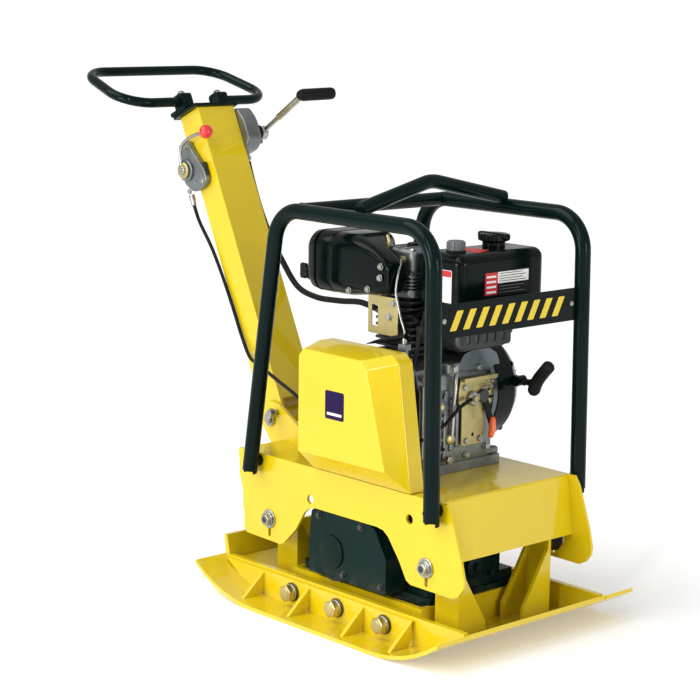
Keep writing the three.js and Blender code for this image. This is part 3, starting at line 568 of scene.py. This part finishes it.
# ------------------------------------------------------------------ shock mounts
for end, sx in (("front", 1), ("rear", -1)):
    for side, sy in (("left", 1), ("right", -1)):
        at = Vector((sx * 230, sy * 129.6, 165))
        out = Vector((0, sy, 0))
        rubber = lathe([(0, 3), (28, 3), (29.5, 5), (28, 11), (26.4, 18), (26, 23), (26.4, 28), (28, 35),
                        (29.5, 41), (28, 43), (0, 43)], at, out, 48)
        parts = [
            (rubber, M["rubber"]),
            (disc(at, out, 29.7, 3.2), M["steel"]),
            (disc(at + out * 42.8, out, 29.7, 3.0), M["steel"]),
        ]
        piece(f"rubber_mount_{end}_{side}", BODY, parts, [f"shock_mount_{end}_{side}"])
        at = Vector((sx * 230, sy * 182.4, 165))
        parts = [
            (ring(at, out, 19.5, 8, 3.4), M["steel"]),
            (ring(at + out * 3.2, out, 14.5, 8, 3), M["steel"]),
            (hexagon(at + out * 6, out, 12.6, 8.5, 0.2), M["steel"]),
            (disc(at + out * 13, out, 7, 2.4), M["dark_steel"]),
        ]
        piece(f"mount_screw_{end}_{side}", BODY, parts, [f"mount_bolt_{end}_{side}"])

# ------------------------------------------------------------------ deck and hinge
deck = [(cad("deck_frame", 1.5), M["yellow"])]
for y in (-172, 172):
    deck.append((weld([(-318, y, 291), (252, y, 291)], 2.4), M["yellow"]))
piece("deck", BODY, deck, ["deck_frame"])
pin = [
    (disc((-372, -61.5, 335), RIGHT, 16, 6, 1.5), M["steel"]),
    (disc((-372, -67, 335), RIGHT, 10, 6, 2), M["steel"]),
    (tube([(-372, -62, 335), (-372, 62, 335)], 9.8), M["steel"]),
    (ring((-372, 61.5, 335), Y, 16, 8, 3), M["steel"]),
    (hexagon((-372, 64.5, 335), Y, 14.5, 8), M["steel"]),
]
piece("tow_bar_pin", BODY, pin, ["hinge_pin"])
lock = [
    (lathe([(0, 0), (5.8, 0), (5.8, 22), (10.6, 22), (10.6, 27), (8, 32.6), (0, 32.8)], (-352, -51.2, 352),
           RIGHT, 32), M["steel"]), ]
piece("lock_plunger", "lock_pin", lock, ["handle_lock"])

# ------------------------------------------------------------------ cage
for side, sy in (("right", -1), ("left", 1)):
    y = sy * CAGE_Y
    path = bent([(263.9, y, 266), (256, y, 811), (-182, y, 811), (-266.6, y, 266)], 72, 14)
    parts = [(tube(path, 15.8, 32), M["tube"])]
    # Below its notched outer half each leg ends in a short tongue on the deck side.
    for x, lean in ((263.9, -0.014), (-266.6, 0.155)):
        rings = []
        for z, r in ((257.8, 15.2), (259.5, 15.8), (267, 15.8)):
            arc = [math.radians(-11 + 202 * k / 20) for k in range(21)]
            outer = [(r * math.cos(a), r * math.sin(a)) for a in arc]
            inner = [(12.6 * math.cos(a), 12.6 * math.sin(a)) for a in reversed(arc)]
            rings.append([Vector((x + lean * (z - 266) + u, y - sy * v, z)) for u, v in outer + inner])
        parts.append((loft(rings), M["tube"]))
    for x, z in ((260, 284), (-263.5, 284)):
        parts.append((disc((x, sy * 182.5, z), (0, sy, 0), 13, 14, 1), M["tube"]))
        # The thin black disc on the leg's outer face is painted shade standing in for the bolt hole; no hole
        # is cut.
        parts.append((disc((x, sy * 220.2, z), (0, sy, 0), 4.5, 0.7, 0.2), M["plastic"]))
    piece(f"cage_{side}", BODY, parts, [f"cage_hoop_{side}"])

crossbar_seam = [(14 * math.cos(0.4 * k), 14 * math.sin(0.4 * k)) for k in range(17)]
piece("cage_crossbar", BODY, [(tube([(-132, -188.5, 811), (-132, 188.5, 811)], 14.4, 28), M["tube"]),
      (weld([(-132 + u, -186.8, 811 + v) for u, v in crossbar_seam], 2.0), M["tube"])],
      ["cage_cross_tube"])
bar = bent([(48, -196, 829.5), (38, 0, 873.5), (48, 196, 829.5)], 90, 12)
piece("lifting_tube", BODY, [(tube(bar, 14.3, 28), M["tube"])], ["lifting_bar"])

# The front band carries a plain row of warning stripes.
sign = [(prism(rounded(-186.8, 186.8, 606.2, 670.8, 5), 255.1, 258.0, "yz"), M["black"])]
for i in range(9):
    y = -140 + i * 35
    stripe = [(y - 22, 620), (y - 5, 620), (y + 14, 657), (y - 3, 657)]
    sign.append((prism(softened(stripe, 1.5, 2), 258.0, 258.35, "yz", edge=0), M["yellow"]))
for y in (-176, 176):
    sign.append((disc((257.6, y, 640), (1, 0, 0), 5, 0.85, 0.3), M["steel"]))
piece("front_band", BODY, sign, ["sign_plate"])

# ------------------------------------------------------------------ belt guard
guard = [(cad("belt_guard", 4.5, 3, 20), M["yellow"])]
guard.append((prism(rounded(-14, 40, 420, 476, 4), -225.4, -224.8, "xz", edge=0), M["violet"]))
guard.append((prism(rounded(-8, 34, 428, 433, 1), -225.7, -225.3, "xz", edge=0), M["white"]))
piece("belt_guard_shell", BODY, guard, ["belt_guard"])
belt = [(cad("drive_belt", 1.5, 2, 60), M["rubber"])]
piece("v_belt", BODY, belt, ["drive_belt"])


# ------------------------------------------------------------------ engine
def front(parts, outline, x0, x1, mat, holes=(), edge=0.8):
    parts.append((prism(outline, x0, x1, "yz", holes, edge), M[mat]))


case = [(cad("crankcase", 5.0, 3, 30), M["cast"])]
for i in range(5):
    y = -86 + i * 15
    case.append((block(108, 118 + 2 * (i % 2), y - 4, y + 4, 330 + 8 * (i % 2), 486 - 6 * i, 3.6), M["cast"]))
for i in range(4):
    case.append((block(-70 + i * 38, -58 + i * 38, -99, -90, 330, 505, 4), M["cast"]))
case.append((disc((15, -100, 447), RIGHT, 58, 11, 3), M["cast"]))
for t in range(8):
    a = math.pi / 4 * t + 0.3
    case += bolt((15 + 52 * math.cos(a), -110.5, 447 + 52 * math.sin(a)), RIGHT, 6, False)
for y, z in ((-78, 334), (-78, 500), (-8, 504), (70, 504), (96, 340), (-20, 330), (40, 330), (98, 430)):
    case += bolt((112.5, y, z), (1, 0, 0), 7)
for x, y in ((98, -80), (98, 128), (-84, -80), (-84, 128), (98, 30)):
    case += bolt((x, y, 318), (0, 0, 1), 9)
for x in (-50, 0, 50, 92):
    case += bolt((x, -92.3, 328), RIGHT, 7)
for y, low, high in ((-22, 350, 470), (-6, 344, 452), (10, 350, 430)):
    case.append((block(108, 117, y - 5, y + 5, low, high, 3.6), M["cast"]))
case.append((tube(flowing([(122, -12, 372), (124, -12, 400), (124, -10, 440), (122, -4, 476), (116, 4, 500)],
                          6), 4.2, 16), M["steel"]))
case.append((disc((112, -12, 370), (1, 0, 0), 11, 12, 3), M["gold"]))
case.append((disc((110, -46, 440), (1, 0, 0), 19, 14, 4), M["cast"]))
case.append((block(108, 132, -66, -36, 470, 508, 7), M["cast"]))
case.append((block(100, 124, -30, 8, 500, 524, 6), M["cast"]))
case += bolt((124, -12, 512), (1, 0, 0), 8)
case += bolt((124, -46, 440), (1, 0, 0), 7, metal="gold")
case.append((hexagon((120, -20, 330), (1, 0, 0), 9, 9), M["steel"]))
case.append((block(104, 124, -92, -58, 318, 340, 6), M["cast"]))
case.append((block(92, 110, 96, 138, 318, 334, 6), M["cast"]))
piece("crankcase_casting", BODY, case, ["crankcase"])
stick = [
    (disc((112, -52, 356), (1, 0, 0), 15, 9, 2), M["plastic"]),
    (block(120, 134, -64, -40, 353, 359, 2.5), M["plastic"]),
]
piece("oil_dipstick", "oil_dipstick", stick, ["dipstick"])

barrel = []
for i in range(9):
    z = 531 + i * 13
    barrel.append((prism(rounded(-54, 54, -66, 38, 16), z, z + 4.2, "xy", edge=1.2), M["cast_dark"]))
barrel.append((block(-36, 36, -50, 22, 521.5, 652, 6), M["cast_dark"]))
barrel.append((prism(rounded(-50, 52, -62, 36, 14), 646, 662, "xy", edge=2.5), M["cast"]))
for i in range(4):
    z = 664 + i * 7
    barrel.append((prism(rounded(-48, 50, -60, 34, 14), z, z + 3.4, "xy", edge=1.0), M["cast"]))
barrel.append((block(-40, 42, -52, 28, 660, 689.8, 5), M["cast"]))
for x, y in ((-40, -52), (42, -52), (-40, 26), (42, 26)):
    barrel += bolt((x, y, 689), (0, 0, 1), 8)
piece("cylinder_and_fins", BODY, barrel, ["cylinder_and_head"])
rocker = [
    (block(-28, 48, -55, 19, 690.5, 742, 11, 4), M["cast"]),
    (prism(rounded(-30, 50, -57, 21, 12), 690.5, 696, "xy", edge=1.4), M["cast"]),
    (disc((10, -18, 740), (0, 0, 1), 12, 9.5, 2), M["plastic"]),
]
for x, y in ((-22, -48), (40, -48), (-22, 10), (40, 10)):
    rocker += bolt((x, y, 739), (0, 0, 1), 6, False)
for i in range(3):
    rocker.append((block(-20 + i * 20, -14 + i * 20, -52, 14, 739, 744, 1.8), M["cast"]))
piece("rocker_cover", BODY, rocker, ["valve_cover"])
lever = [
    (disc((-10, -56.6, 724), RIGHT, 6, 10, 1.5), M["gold"]),
    (tube(flowing([(-10, -67.5, 722), (-10, -68, 740), (-8, -68, 755), (-12, -68, 766)], 6),
          [3.4] * 18 + [2.6], 12), M["gold"]), ]
piece("decompression_arm", "decompression", lever, ["decompression_lever"])

# Tank: a pressed shell with a soft shoulder, filler and two plain labels.
tank = [
    (block(60, 178, -54, 186, 630.5, 743, 20, 6), M["black"]),
    (prism(rounded(58.5, 179.5, -55.5, 187.5, 22), 646, 649, "xy", edge=1.2), M["black"]),
    (disc((112, 104, 742), (0, 0, 1), 23, 12, 2), M["black"]),
    (disc((126, -16, 742), (0, 0, 1), 20, 4, 1.5), M["plastic"]),
    (disc((126, -16, 745), (0, 0, 1), 17, 20, 2), M["grey"]),
    (block(62, 188, -31, -21, 622, 632, 2), M["black"]),
    (block(62, 188, 149, 159, 622, 632, 2), M["black"]),
]
for k in range(18):
    a = 2 * math.pi * k / 18
    tank.append((block(-1.5, 1.5, -1.5, 1.5, 747, 763, 0.8), M["grey"]))
    bmesh.ops.translate(tank[-1][0], vec=(126 + 17 * math.cos(a), -16 + 17 * math.sin(a), 0),
                        verts=tank[-1][0].verts)
front(tank, rounded(10, 138, 658, 707, 3), 178, 178.5, "plastic", edge=0)
front(tank, rounded(48, 135, 682, 704, 1.5), 178.3, 178.8, "white", edge=0)
front(tank, rounded(13, 47, 661, 704, 1.5), 178.3, 178.8, "label_red", edge=0)
for i in range(4):
    front(tank, rounded(52, 128 - 9 * (i % 2), 685 + i * 5, 686.6 + i * 5, 0.5), 178.8, 178.95, "grey",
          edge=0)
    front(tank, rounded(17, 43, 664 + i * 10, 668 + i * 10, 0.5), 178.8, 178.95, "white", edge=0)
for i in range(3):
    front(tank, rounded(52, 124 - 12 * (i % 2), 663 + i * 6, 664.4 + i * 6, 0.5), 178.5, 178.7, "grey",
          edge=0)
tank.append((prism(rounded(128, 154, 648, 712, 2), -54.6, -54.0, "xz", edge=0), M["white"]))
tank.append((prism(rounded(129, 153, 699, 711, 2), -54.9, -54.6, "xz", edge=0), M["label_red"]))
tank.append((prism(softened([(98, 14), (118, -4), (164, 10), (150, 52), (92, 46)], 4), 743.0, 743.5, "xy",
                   edge=0), M["label_red"]))
piece("fuel_tank_shell", BODY, tank, ["fuel_tank"])
cap = [(disc((112, 104, 754.5), (0, 0, 1), 30, 15, 3), M["black"])]
for k in range(24):
    a = 2 * math.pi * k / 24
    grip = block(-2, 2, -2.2, 2.2, 756, 768, 0.9)
    bmesh.ops.rotate(grip, cent=(0, 0, 0), matrix=Matrix.Rotation(a, 3, "Z"), verts=grip.verts)
    bmesh.ops.translate(grip, vec=(112 + 29.5 * math.cos(a), 104 + 29.5 * math.sin(a), 0), verts=grip.verts)
    cap.append((grip, M["plastic"]))
cap.append((block(73, 151, 95, 113, 758, 771, 5), M["black"]))
piece("filler_cap", "tank_cap", cap, ["fuel_cap"])


def section(x, y0, y1, z0, z1, r):
    return [Vector((x, y, z)) for y, z in rounded(y0, y1, z0, z1, r, 7)]


# Air cleaner: a deep rear cap, a body with two pressed creases and a nose that slopes to the intake.
cleaner = []
rear_cap = [(-197.8, -98, -16, 668, 737, 22), (-195, -110, -4, 656, 749, 26), (-189, -119, 5, 647, 758, 30),
            (-180, -124, 10, 642, 763, 32), (-166, -125.5, 12, 640.5, 765, 32),
            (-164, -125.5, 12, 640.5, 765, 32)]
cleaner.append((loft([section(*s) for s in rear_cap]), M["black"]))
body = [(-163.6, -122, 8, 644, 761, 30), (-160, -122, 8, 644, 761, 30), (-158, -125.5, 12, 640.5, 765, 32),
        (-126, -125.5, 12, 640.5, 765, 32), (-121, -123, 9, 643, 762, 30), (-117, -123, 9, 643, 762, 30),
        (-112, -125.5, 12, 640.5, 765, 32), (-74, -125.5, 10, 641, 765, 32), (-60, -125, 0, 643, 764, 30),
        (-30, -124.5, -42, 648, 757, 24), (4, -124, -70, 652, 744, 18), (34, -122, -74, 656, 726, 14),
        (46, -118, -78, 662, 716, 10)]
cleaner.append((loft([section(*s) for s in body]), M["black"]))
cleaner.append((disc((-197, -98, 674), (-1, 0, 0), 17, 6, 2), M["black"]))
cleaner.append((tube([(-200, -98, 674), (-208, -98, 674)], 4.5), M["steel"]))
for x, z in ((-6, 664), (28, 690), (30, 712), (-60, 655)):
    cleaner += bolt((x, -124.6, z), RIGHT, 6)
piece("air_cleaner_case", BODY, cleaner, ["air_cleaner"])
nut = [
    (disc((-206.6, -98, 674), (-1, 0, 0), 9.5, 14, 2.5), M["plastic"]),
    (block(-235.5, -216, -103, -93, 658, 690, 4.5), M["plastic"]),
]
piece("wing_knob", "wing_nut", nut, ["air_cleaner_knob"])
bracket = [
    (prism(softened([(-26, 575), (58, 575), (58, 651), (-26, 651)], 5), -104, -101, "xz",
           [softened([(-16, 590), (2, 590), (2, 632), (-16, 632)], 3), circle(34, 612, 4, 12)], 0.8),
     M["gold"]),
    (prism(softened([(-26, -101), (58, -101), (58, -68), (-26, -68)], 5), 575, 578, "xy", (), 0.8),
     M["gold"]), ]
bracket += bolt((34, -104, 612), RIGHT, 7)
bracket += bolt((46, -104, 640), RIGHT, 6)
bracket += bolt((20, -86, 578), (0, 0, 1), 7)
piece("cleaner_bracket", BODY, bracket, ["air_cleaner_bracket"])

silencer = [
    (block(62.5, 161.5, -33.5, 109.5, 548.5, 615.5, 18, 5), M["dark_steel"]),
    (tube([(56, -8, 600), (68, -8, 600)], 13), M["dark_steel"]),
    (tube([(140, 108, 580), (140, 125, 580)], 10), M["dark_steel"]),
]
heat_slots = [rounded(-20 + 24 * i, -8 + 24 * i, 566, 600, 4, 3) for i in range(5)]
silencer.append((prism(rounded(-30, 106, 556, 610, 8), 162, 163.5, "yz", heat_slots, 0.4), M["cast_dark"]))
piece("muffler_can", BODY, silencer, ["muffler"])

# Recoil starter: a domed black cover with radial slots over a bright cooling shroud.
dome = [(107, 114), (112.8, 114), (113, 158), (110, 166), (101, 177), (94, 188), (86, 197), (70, 201.5),
        (50, 203.5),
        (30, 205.3), (0, 205.8), (0, 202.5), (48, 200.5), (82, 194), (104, 164), (107, 157), (107, 114)]
starter = [(lathe(dome, CRANK, Y, 64), M["black"])]
for k in range(16):
    a = 2 * math.pi * k / 16
    slot_block = block(62, 84, -3, 3, 196.5, 200.9, 1.6)
    bmesh.ops.transform(slot_block, matrix=aim(CRANK, Y) @ Matrix.Rotation(a, 4, "Z"),
                        verts=slot_block.verts)
    starter.append((slot_block, M["plastic"]))
starter.append((disc((15, 203.5, 447), Y, 26, 2.4, 1), M["plastic"]))
starter.append((lathe([(96, 0), (111, 0), (111, 12), (108, 13), (96, 13), (96, 0)], (15, 101, 447), Y, 64),
                M["shroud"]))
duct = loft([
    [Vector((x, y, 540)) for x, y in rounded(-40, 62, 60, 150, 10)],
    [Vector((x, y, 580)) for x, y in rounded(-34, 56, 60, 150, 10)],
    [Vector((x, y, 618)) for x, y in rounded(-30, 52, 60, 150, 10)],
])
starter.append((duct, M["shroud"]))
front(starter, softened([(8, 504), (30, 536), (88, 546), (122, 528), (133, 500), (134, 420), (113, 420),
                         (112, 492), (60, 498)], 7), 98, 112, "shroud", edge=4)
starter.append((tube([(137, 152.5, 469), (137, 175.5, 469)], 10.5, 24), M["black"]))
starter.append((block(100, 134, 154, 172, 459, 479, 6), M["black"]))
starter.append((tube([(140, 164, 469), (148, 164, 469)], 4, 16), M["plastic"]))
for t in (0.5, 1.7, 2.9, 4.1, 5.4):
    starter += bolt(CRANK + Vector((106 * math.cos(t), 166, 106 * math.sin(t))), Y, 7)
piece("recoil_cover", BODY, starter, ["recoil_housing"])
grip_path = flowing([(174, 164, 446), (176, 164, 454), (180, 164, 466), (188, 164, 480), (200, 164, 494),
                     (212, 164, 507), (219, 164, 514)], 4)
grip_r = [7 + 6 * math.sin(min(1.0, i / 5) * math.pi / 2) for i in range(len(grip_path))]
grip_r[-1], grip_r[-2], grip_r[-3] = 7.0, 10.5, 12.4
handle_grip = [
    (tube(grip_path, grip_r, 20), M["rubber"]),
    (lathe([(0, 0), (7, 0), (8.5, 2), (6, 7), (7, 14), (9, 24), (0, 30)], (149, 164, 469), (1, 0, 0), 24),
     M["rubber"]), ]
piece("pull_grip", "starter", handle_grip, ["starter_grip"])

pump = [(cad("injection_pump", 2.5, 3, 30), M["cast"])]
pump.append((tube([(80, -105, 566), (80, -105, 578)], 5, 16), M["steel"]))
pump.append((tube(flowing([(80, -105, 576), (80, -106, 592), (72, -107, 612), (62, -107, 640),
                           (54, -106, 668), (50, -96, 700),
                           (44, -84, 716), (34, -74, 722), (26, -62, 722)], 8), 2.4, 14), M["steel"]))
pump.append((hexagon((28, -68, 722), Y, 7, 9), M["gold"]))
for z in (486, 530):
    pump += bolt((66, -118.2, z), RIGHT, 6)
pump.append((tube(flowing([(96, -108, 500), (110, -112, 520), (118, -108, 560), (112, -90, 600),
                           (100, -70, 628)], 8), 4.2, 14), M["rubber"]))
pump.append((lathe([(0, 0), (14, 0), (15, 3), (15, 30), (13, 34), (0, 35)], (112, -84, 570), (0, 0, 1), 32),
             M["plastic"]))
piece("fuel_pump", BODY, pump, ["injection_pump"])

# Speed control on the engine's front: a plated sheet, a round stop, a spring and the lever with its tip.
control = []
sheet_outline = softened([(6, 462), (12, 488), (106, 488), (111, 470), (108, 432), (80, 428), (76, 352),
                          (16, 352), (16, 430), (6, 440)], 5)
front(control, sheet_outline, 118.5, 121.6, "gold",
      [circle(92, 462, 6, 16), rounded(86, 102, 440, 446, 2.5, 3), circle(48, 372, 4, 12)], 0.6)
front(control, softened([(12, 482), (106, 482), (106, 490), (12, 490)], 2), 118.5, 132, "gold", edge=0.8)
for y, z in ((22, 470), (100, 476), (28, 362), (66, 362)):
    control += bolt((121.6, y, z), (1, 0, 0), 6)
control.append((disc((121.6, 44, 446), (1, 0, 0), 15, 8, 3), M["steel"]))
control.append((hexagon((129, 44, 446), (1, 0, 0), 7, 6), M["gold"]))
turns = [k * 0.5 for k in range(54)]
coil = [(128 + 3.4 * math.cos(t), 64 + t * 1.1, 466 + 3.4 * math.sin(t)) for t in turns]
control.append((tube(coil, 0.9, 8), M["steel"]))
for y, z in ((34, 372), (66, 372), (40, 450)):
    control.append((disc((112.5, y, z), (1, 0, 0), 8, 6.4, 1), M["steel"]))
piece("control_sheet", BODY, control, ["control_plate"])
speed = [
    (disc((122.5, 72, 448), (1, 0, 0), 14, 7, 2), M["dark_steel"]),
    (prism(softened([(64, 452), (80, 452), (101, 394), (90, 386)], 4), 124, 128, "yz", (), 0.8),
     M["plastic"]),
    (prism(softened([(72, 440), (72, 456), (41, 452), (41, 444)], 3), 124, 128, "yz", (), 0.8), M["gold"]),
    (tube(flowing([(128.6, 96, 402), (131, 94, 392), (133, 91, 376), (133, 86, 362)], 5),
          [4.5, 5.4, 6, 6.4, 6.6, 6.6, 6.8, 7, 7, 7, 7, 7, 6.8, 6.4, 5.6, 4], 16), M["orange"]),
]
piece("speed_arm", "engine_speed", speed, ["speed_lever"])

hoses = [
    (tube(flowing([(60, -20, 640), (50, -30, 620), (70, -70, 612), (100, -86, 608)], 8), 4.2, 14),
     M["rubber"]),
    (tube([(-22, -110, 552), (0, -110, 559), (30, -110, 567), (56, -108, 573), (84, -104, 581)],
          [0.8, 3.2, 5.2, 6, 6], 14), M["plastic"]),
]
piece("fuel_hoses", BODY, hoses, [])

# ------------------------------------------------------------------ handle
bar = [(cad("tow_bar", 2.6, 3), M["yellow"])]
piece("tow_bar_box", "handle", bar, ["tow_bar"])

head = [
    (prism(softened([(-46, -62), (40, -62), (40, 62), (-46, 62)], 6), 700.3, 707.5, "xy", (), 1.2),
     M["tube"]), ]
for y in (-50, 50):
    clamp = prism(rounded(-26, 9, 707, 746, 8), y - 14, y + 14, "xz", [circle(-8.4, 729, 11.2, 24)], 1.4)
    head.append((clamp, M["tube"]))
    head.append((disc((-8.4, y, 745.5), (0, 0, 1), 8.5, 5, 1), M["steel"]))
    head.append((hexagon((-8.4, y, 748), (0, 0, 1), 7, 5), M["dark_steel"]))
    head.append((block(-46, -20, y - 16, y + 16, 706, 716, 3), M["tube"]))
piece("clamp_plate", "handle", head, ["handle_head"], HANDLE)

rise = math.radians(42.1)


def on_loop(s, y):
    return (-8.4 - s * math.cos(rise), y, 729 + s * math.sin(rise))


corners = [on_loop(0, -37.5), on_loop(0, -206), on_loop(202, -181), on_loop(202, 181), on_loop(0, 206),
           on_loop(0, 37.5)]
piece("grip_loop", "handle", [(tube(bent(corners, 66, 14), 10.6, 32), M["tube"])], ["handle_loop"],
      HANDLE)

# Throttle: an alloy casting with a round boss, clamp neck and cable gland.
quadrant = [
    (prism(softened([(-50, 642), (-14, 642), (-10, 620), (16, 560), (14, 536), (-6, 528), (-40, 530),
                     (-62, 556), (-62, 600), (-50, 622)], 9), -65.5, -50.4, "xz", (), 3.5, 3), M["cast"]),
    (disc((-42, -65, 582), RIGHT, 24, 6.8, 2), M["cast"]),
    (block(8, 16, -64, -52, 548, 580, 2), M["cast_dark"]),
    (disc((-32, -65, 634), RIGHT, 7, 3, 1), M["cast"]),
]
for x, z in ((2, 540), (-50, 536), (-22, 628)):
    quadrant += bolt((x, -65.6, z), RIGHT, 6)
gland_profile = [(0, 0), (6.6, 0), (7, 10), (5.5, 14), (5.5, 24), (0, 24.6)]
gland = lathe(gland_profile, (-57, -59, 529), (-0.05, 0, -1), 24)
quadrant.append((gland, M["steel"]))
piece("throttle_casting", "handle", quadrant, ["throttle_box"], HANDLE)
arm = flowing([(-42, -78, 584), (-36, -78, 610), (-20, -78, 632), (6, -78, 637), (36, -78, 635),
               (60, -78, 630)], 6)
throttle = [
    (disc((-42, -72.6, 582), RIGHT, 18, 6, 2), M["gold"]),
    (disc((-42, -78, 582), RIGHT, 10, 4, 1.5), M["steel"]),
    (tube(arm, 3.6, 14), M["steel"]),
]
ball = bmesh.new()
bmesh.ops.create_uvsphere(ball, u_segments=32, v_segments=20, radius=15)
bmesh.ops.translate(ball, vec=(72, -78, 628), verts=ball.verts)
throttle.append((ball, M["red"]))
throttle.append((tube([(54, -78, 631), (62, -78, 630)], 6, 16), M["red"]))
piece("throttle_arm", "throttle_lever_body", throttle, ["throttle_lever"], HANDLE)

valve = [
    (prism(softened([(-30, 596), (30, 596), (54, 612), (54, 660), (40, 694), (-22, 694), (-30, 680)], 12),
           50.5, 90, "xz", (), 4, 3), M["cast"]),
    (prism(softened([(-18, 606), (28, 606), (46, 620), (44, 660), (34, 684), (-14, 684)], 10), 89.5, 96.4,
           "xz", (), 2), M["cast"]), (tube([(4, 72, 600), (4, 72, 580)], 7.6, 20), M["steel"]),
    (hexagon((4, 72, 590), (0, 0, -1), 10, 9), M["steel"]),
    (disc((36, 96, 632), Y, 18, 1.2, 0.5), M["cast_dark"]),
]
for x, z in ((-10, 614), (-8, 676), (30, 676), (36, 612)):
    valve += bolt((x, 96.2, z), Y, 6, False)
piece("travel_valve", "handle", valve, ["pump_box"], HANDLE)
travel = [
    (disc((36, 97.6, 632), Y, 15.5, 18, 2), M["steel"]),
    (tube([(36, 107, 632), (112, 107, 643)], [5.4, 5.4], 16), M["steel"]),
    (tube([(104, 107, 641.8), (196, 108, 656)], [7.4, 7.4], 18), M["steel"]),
]
grip = []
GRIP_LENGTH = 100
for i in range(34):
    f = i / 33
    r = 13.6 - (1.1 if i % 2 else 0.0)
    if f < 0.08:
        r = 9 + 50 * f
    if f > 0.95:
        r = 13.6 * math.sqrt(max(0.08, 1 - ((f - 0.95) / 0.05) ** 2))
    grip.append(((196, 98.5 + GRIP_LENGTH * f, 656 + 2 * f), r))
travel.append((tube([g[0] for g in grip], [g[1] for g in grip], 28), M["rubber"]))
piece("travel_arm", "travel_lever_body", travel, ["travel_lever"], HANDLE)

# ------------------------------------------------------------------ lines across the hinge
def at_handle(x, y, z):
    return tuple(HANDLE @ Vector((x, y, z)))


cable_route = [
    at_handle(-58, -59, 504.6), at_handle(-56, -59, 470), at_handle(-40, -58, 400), at_handle(-32, -57, 330),
    at_handle(-27, -57, 260), at_handle(-24, -57, 190), at_handle(-10, -62, 140), (-398, -68, 446),
    (-340, -78, 430),
    (-250, -104, 416), (-170, -128, 400), (-90, -131, 384), (0, -130, 376), (90, -128, 376), (134, -104, 384),
    (142, -50, 410), (138, -8, 436), (133, 30, 447),
]
cable = piece("throttle_line", None, [(tube(flowing(cable_route, 10), 3.8, 14), M["rubber"])],
              ["throttle_cable"])
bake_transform(cable)
hose_route = [
    at_handle(4, 72, 577), at_handle(6, 68, 540), at_handle(12, 62, 470), at_handle(20, 61, 400),
    at_handle(34, 62, 340),
    (-430, 60, 604), (-356, 48, 590), (-262, 34, 594), (-176, 26, 600), (-124, 34, 580), (-112, 40, 520),
    (-114, 42, 440), (-117, 41, 360), (-118, 40, 300), (-119, 44, 250), (-112, 84, 210), (-70, 128, 178),
    (-30, 154, 146), (-8, 158, 134),
]
hose = piece("travel_hose", None, [(tube(flowing(hose_route, 10), 6.4, 18), M["rubber"])], ["hydraulic_hose"])
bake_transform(hose)

frame_materials = {
    "yellow_paint": "yellow", "dark_paint": "tube", "exciter_paint": "exciter", "zinc_steel": "steel",
    "dark_steel": "dark_steel", "cast_alloy": "cast", "black_gloss": "black", "black_plastic": "plastic",
    "black_rubber": "rubber", "yellow_zinc": "gold", "red_plastic": "red",
}
slot_of = {s["node"]: s["material_slot"] for s in frame["record"]["subparts"]}
for node, obj in frame["nodes"].items():
    obj.data.materials.clear()
    obj.data.materials.append(M[frame_materials[slot_of[node]]])

# ------------------------------------------------------------------ floor, light
floor_mesh = bmesh.new()
bmesh.ops.create_grid(floor_mesh, x_segments=2, y_segments=2, size=700)
mesh = bpy.data.meshes.new("floor")
floor_mesh.to_mesh(mesh)
floor = bpy.data.objects.new("floor", mesh)
floor.location = (0, 0, -0.0005)
mesh.materials.append(finish_material("floor_paint", (0.8, 0.8, 0.8), 0.7, vary=0.01, cloud=0.6, grain=40,
                                      bump=0.01, shine=0.0, glow=0.2))
scene.collection.objects.link(floor)

world = bpy.data.worlds.new("studio")
world.use_nodes = True
world.node_tree.nodes["Background"].inputs["Color"].default_value = (1.0, 0.995, 0.985, 1)
world.node_tree.nodes["Background"].inputs["Strength"].default_value = 0.6
scene.world = world
scene.view_settings.view_transform = "Standard"
scene.view_settings.look = "None"


def softbox(name, at, target, size, power, colour=(1, 1, 1)):
    light = bpy.data.lights.new(name, "AREA")
    light.shape = "RECTANGLE"
    light.size, light.size_y = size
    light.energy = power
    light.color = colour
    obj = bpy.data.objects.new(name, light)
    direction = Vector(target) - Vector(at)
    turned = direction.to_track_quat("-Z", "Y").to_matrix().to_4x4()
    obj.matrix_world = Matrix.Translation(Vector(at)) @ turned
    scene.collection.objects.link(obj)


sun = bpy.data.lights.new("sky_panel", "SUN")
sun.energy = 2.0
sun.angle = math.radians(50)
sun_object = bpy.data.objects.new("sky_panel", sun)
sun_object.rotation_euler = Vector((-0.32, -0.6, 0.75)).to_track_quat("Z", "Y").to_euler()
scene.collection.objects.link(sun_object)
softbox("key", (-0.3, -3.8, 0.9), (0, 0, 0.3), (1.4, 1.2), 58)
softbox("front", (3.6, 0.2, 1.0), (0, 0, 0.15), (1.2, 1.2), 34)
softbox("strip", (1.6, -3.2, 2.6), (0, 0, 0.5), (0.25, 2.2), 40)
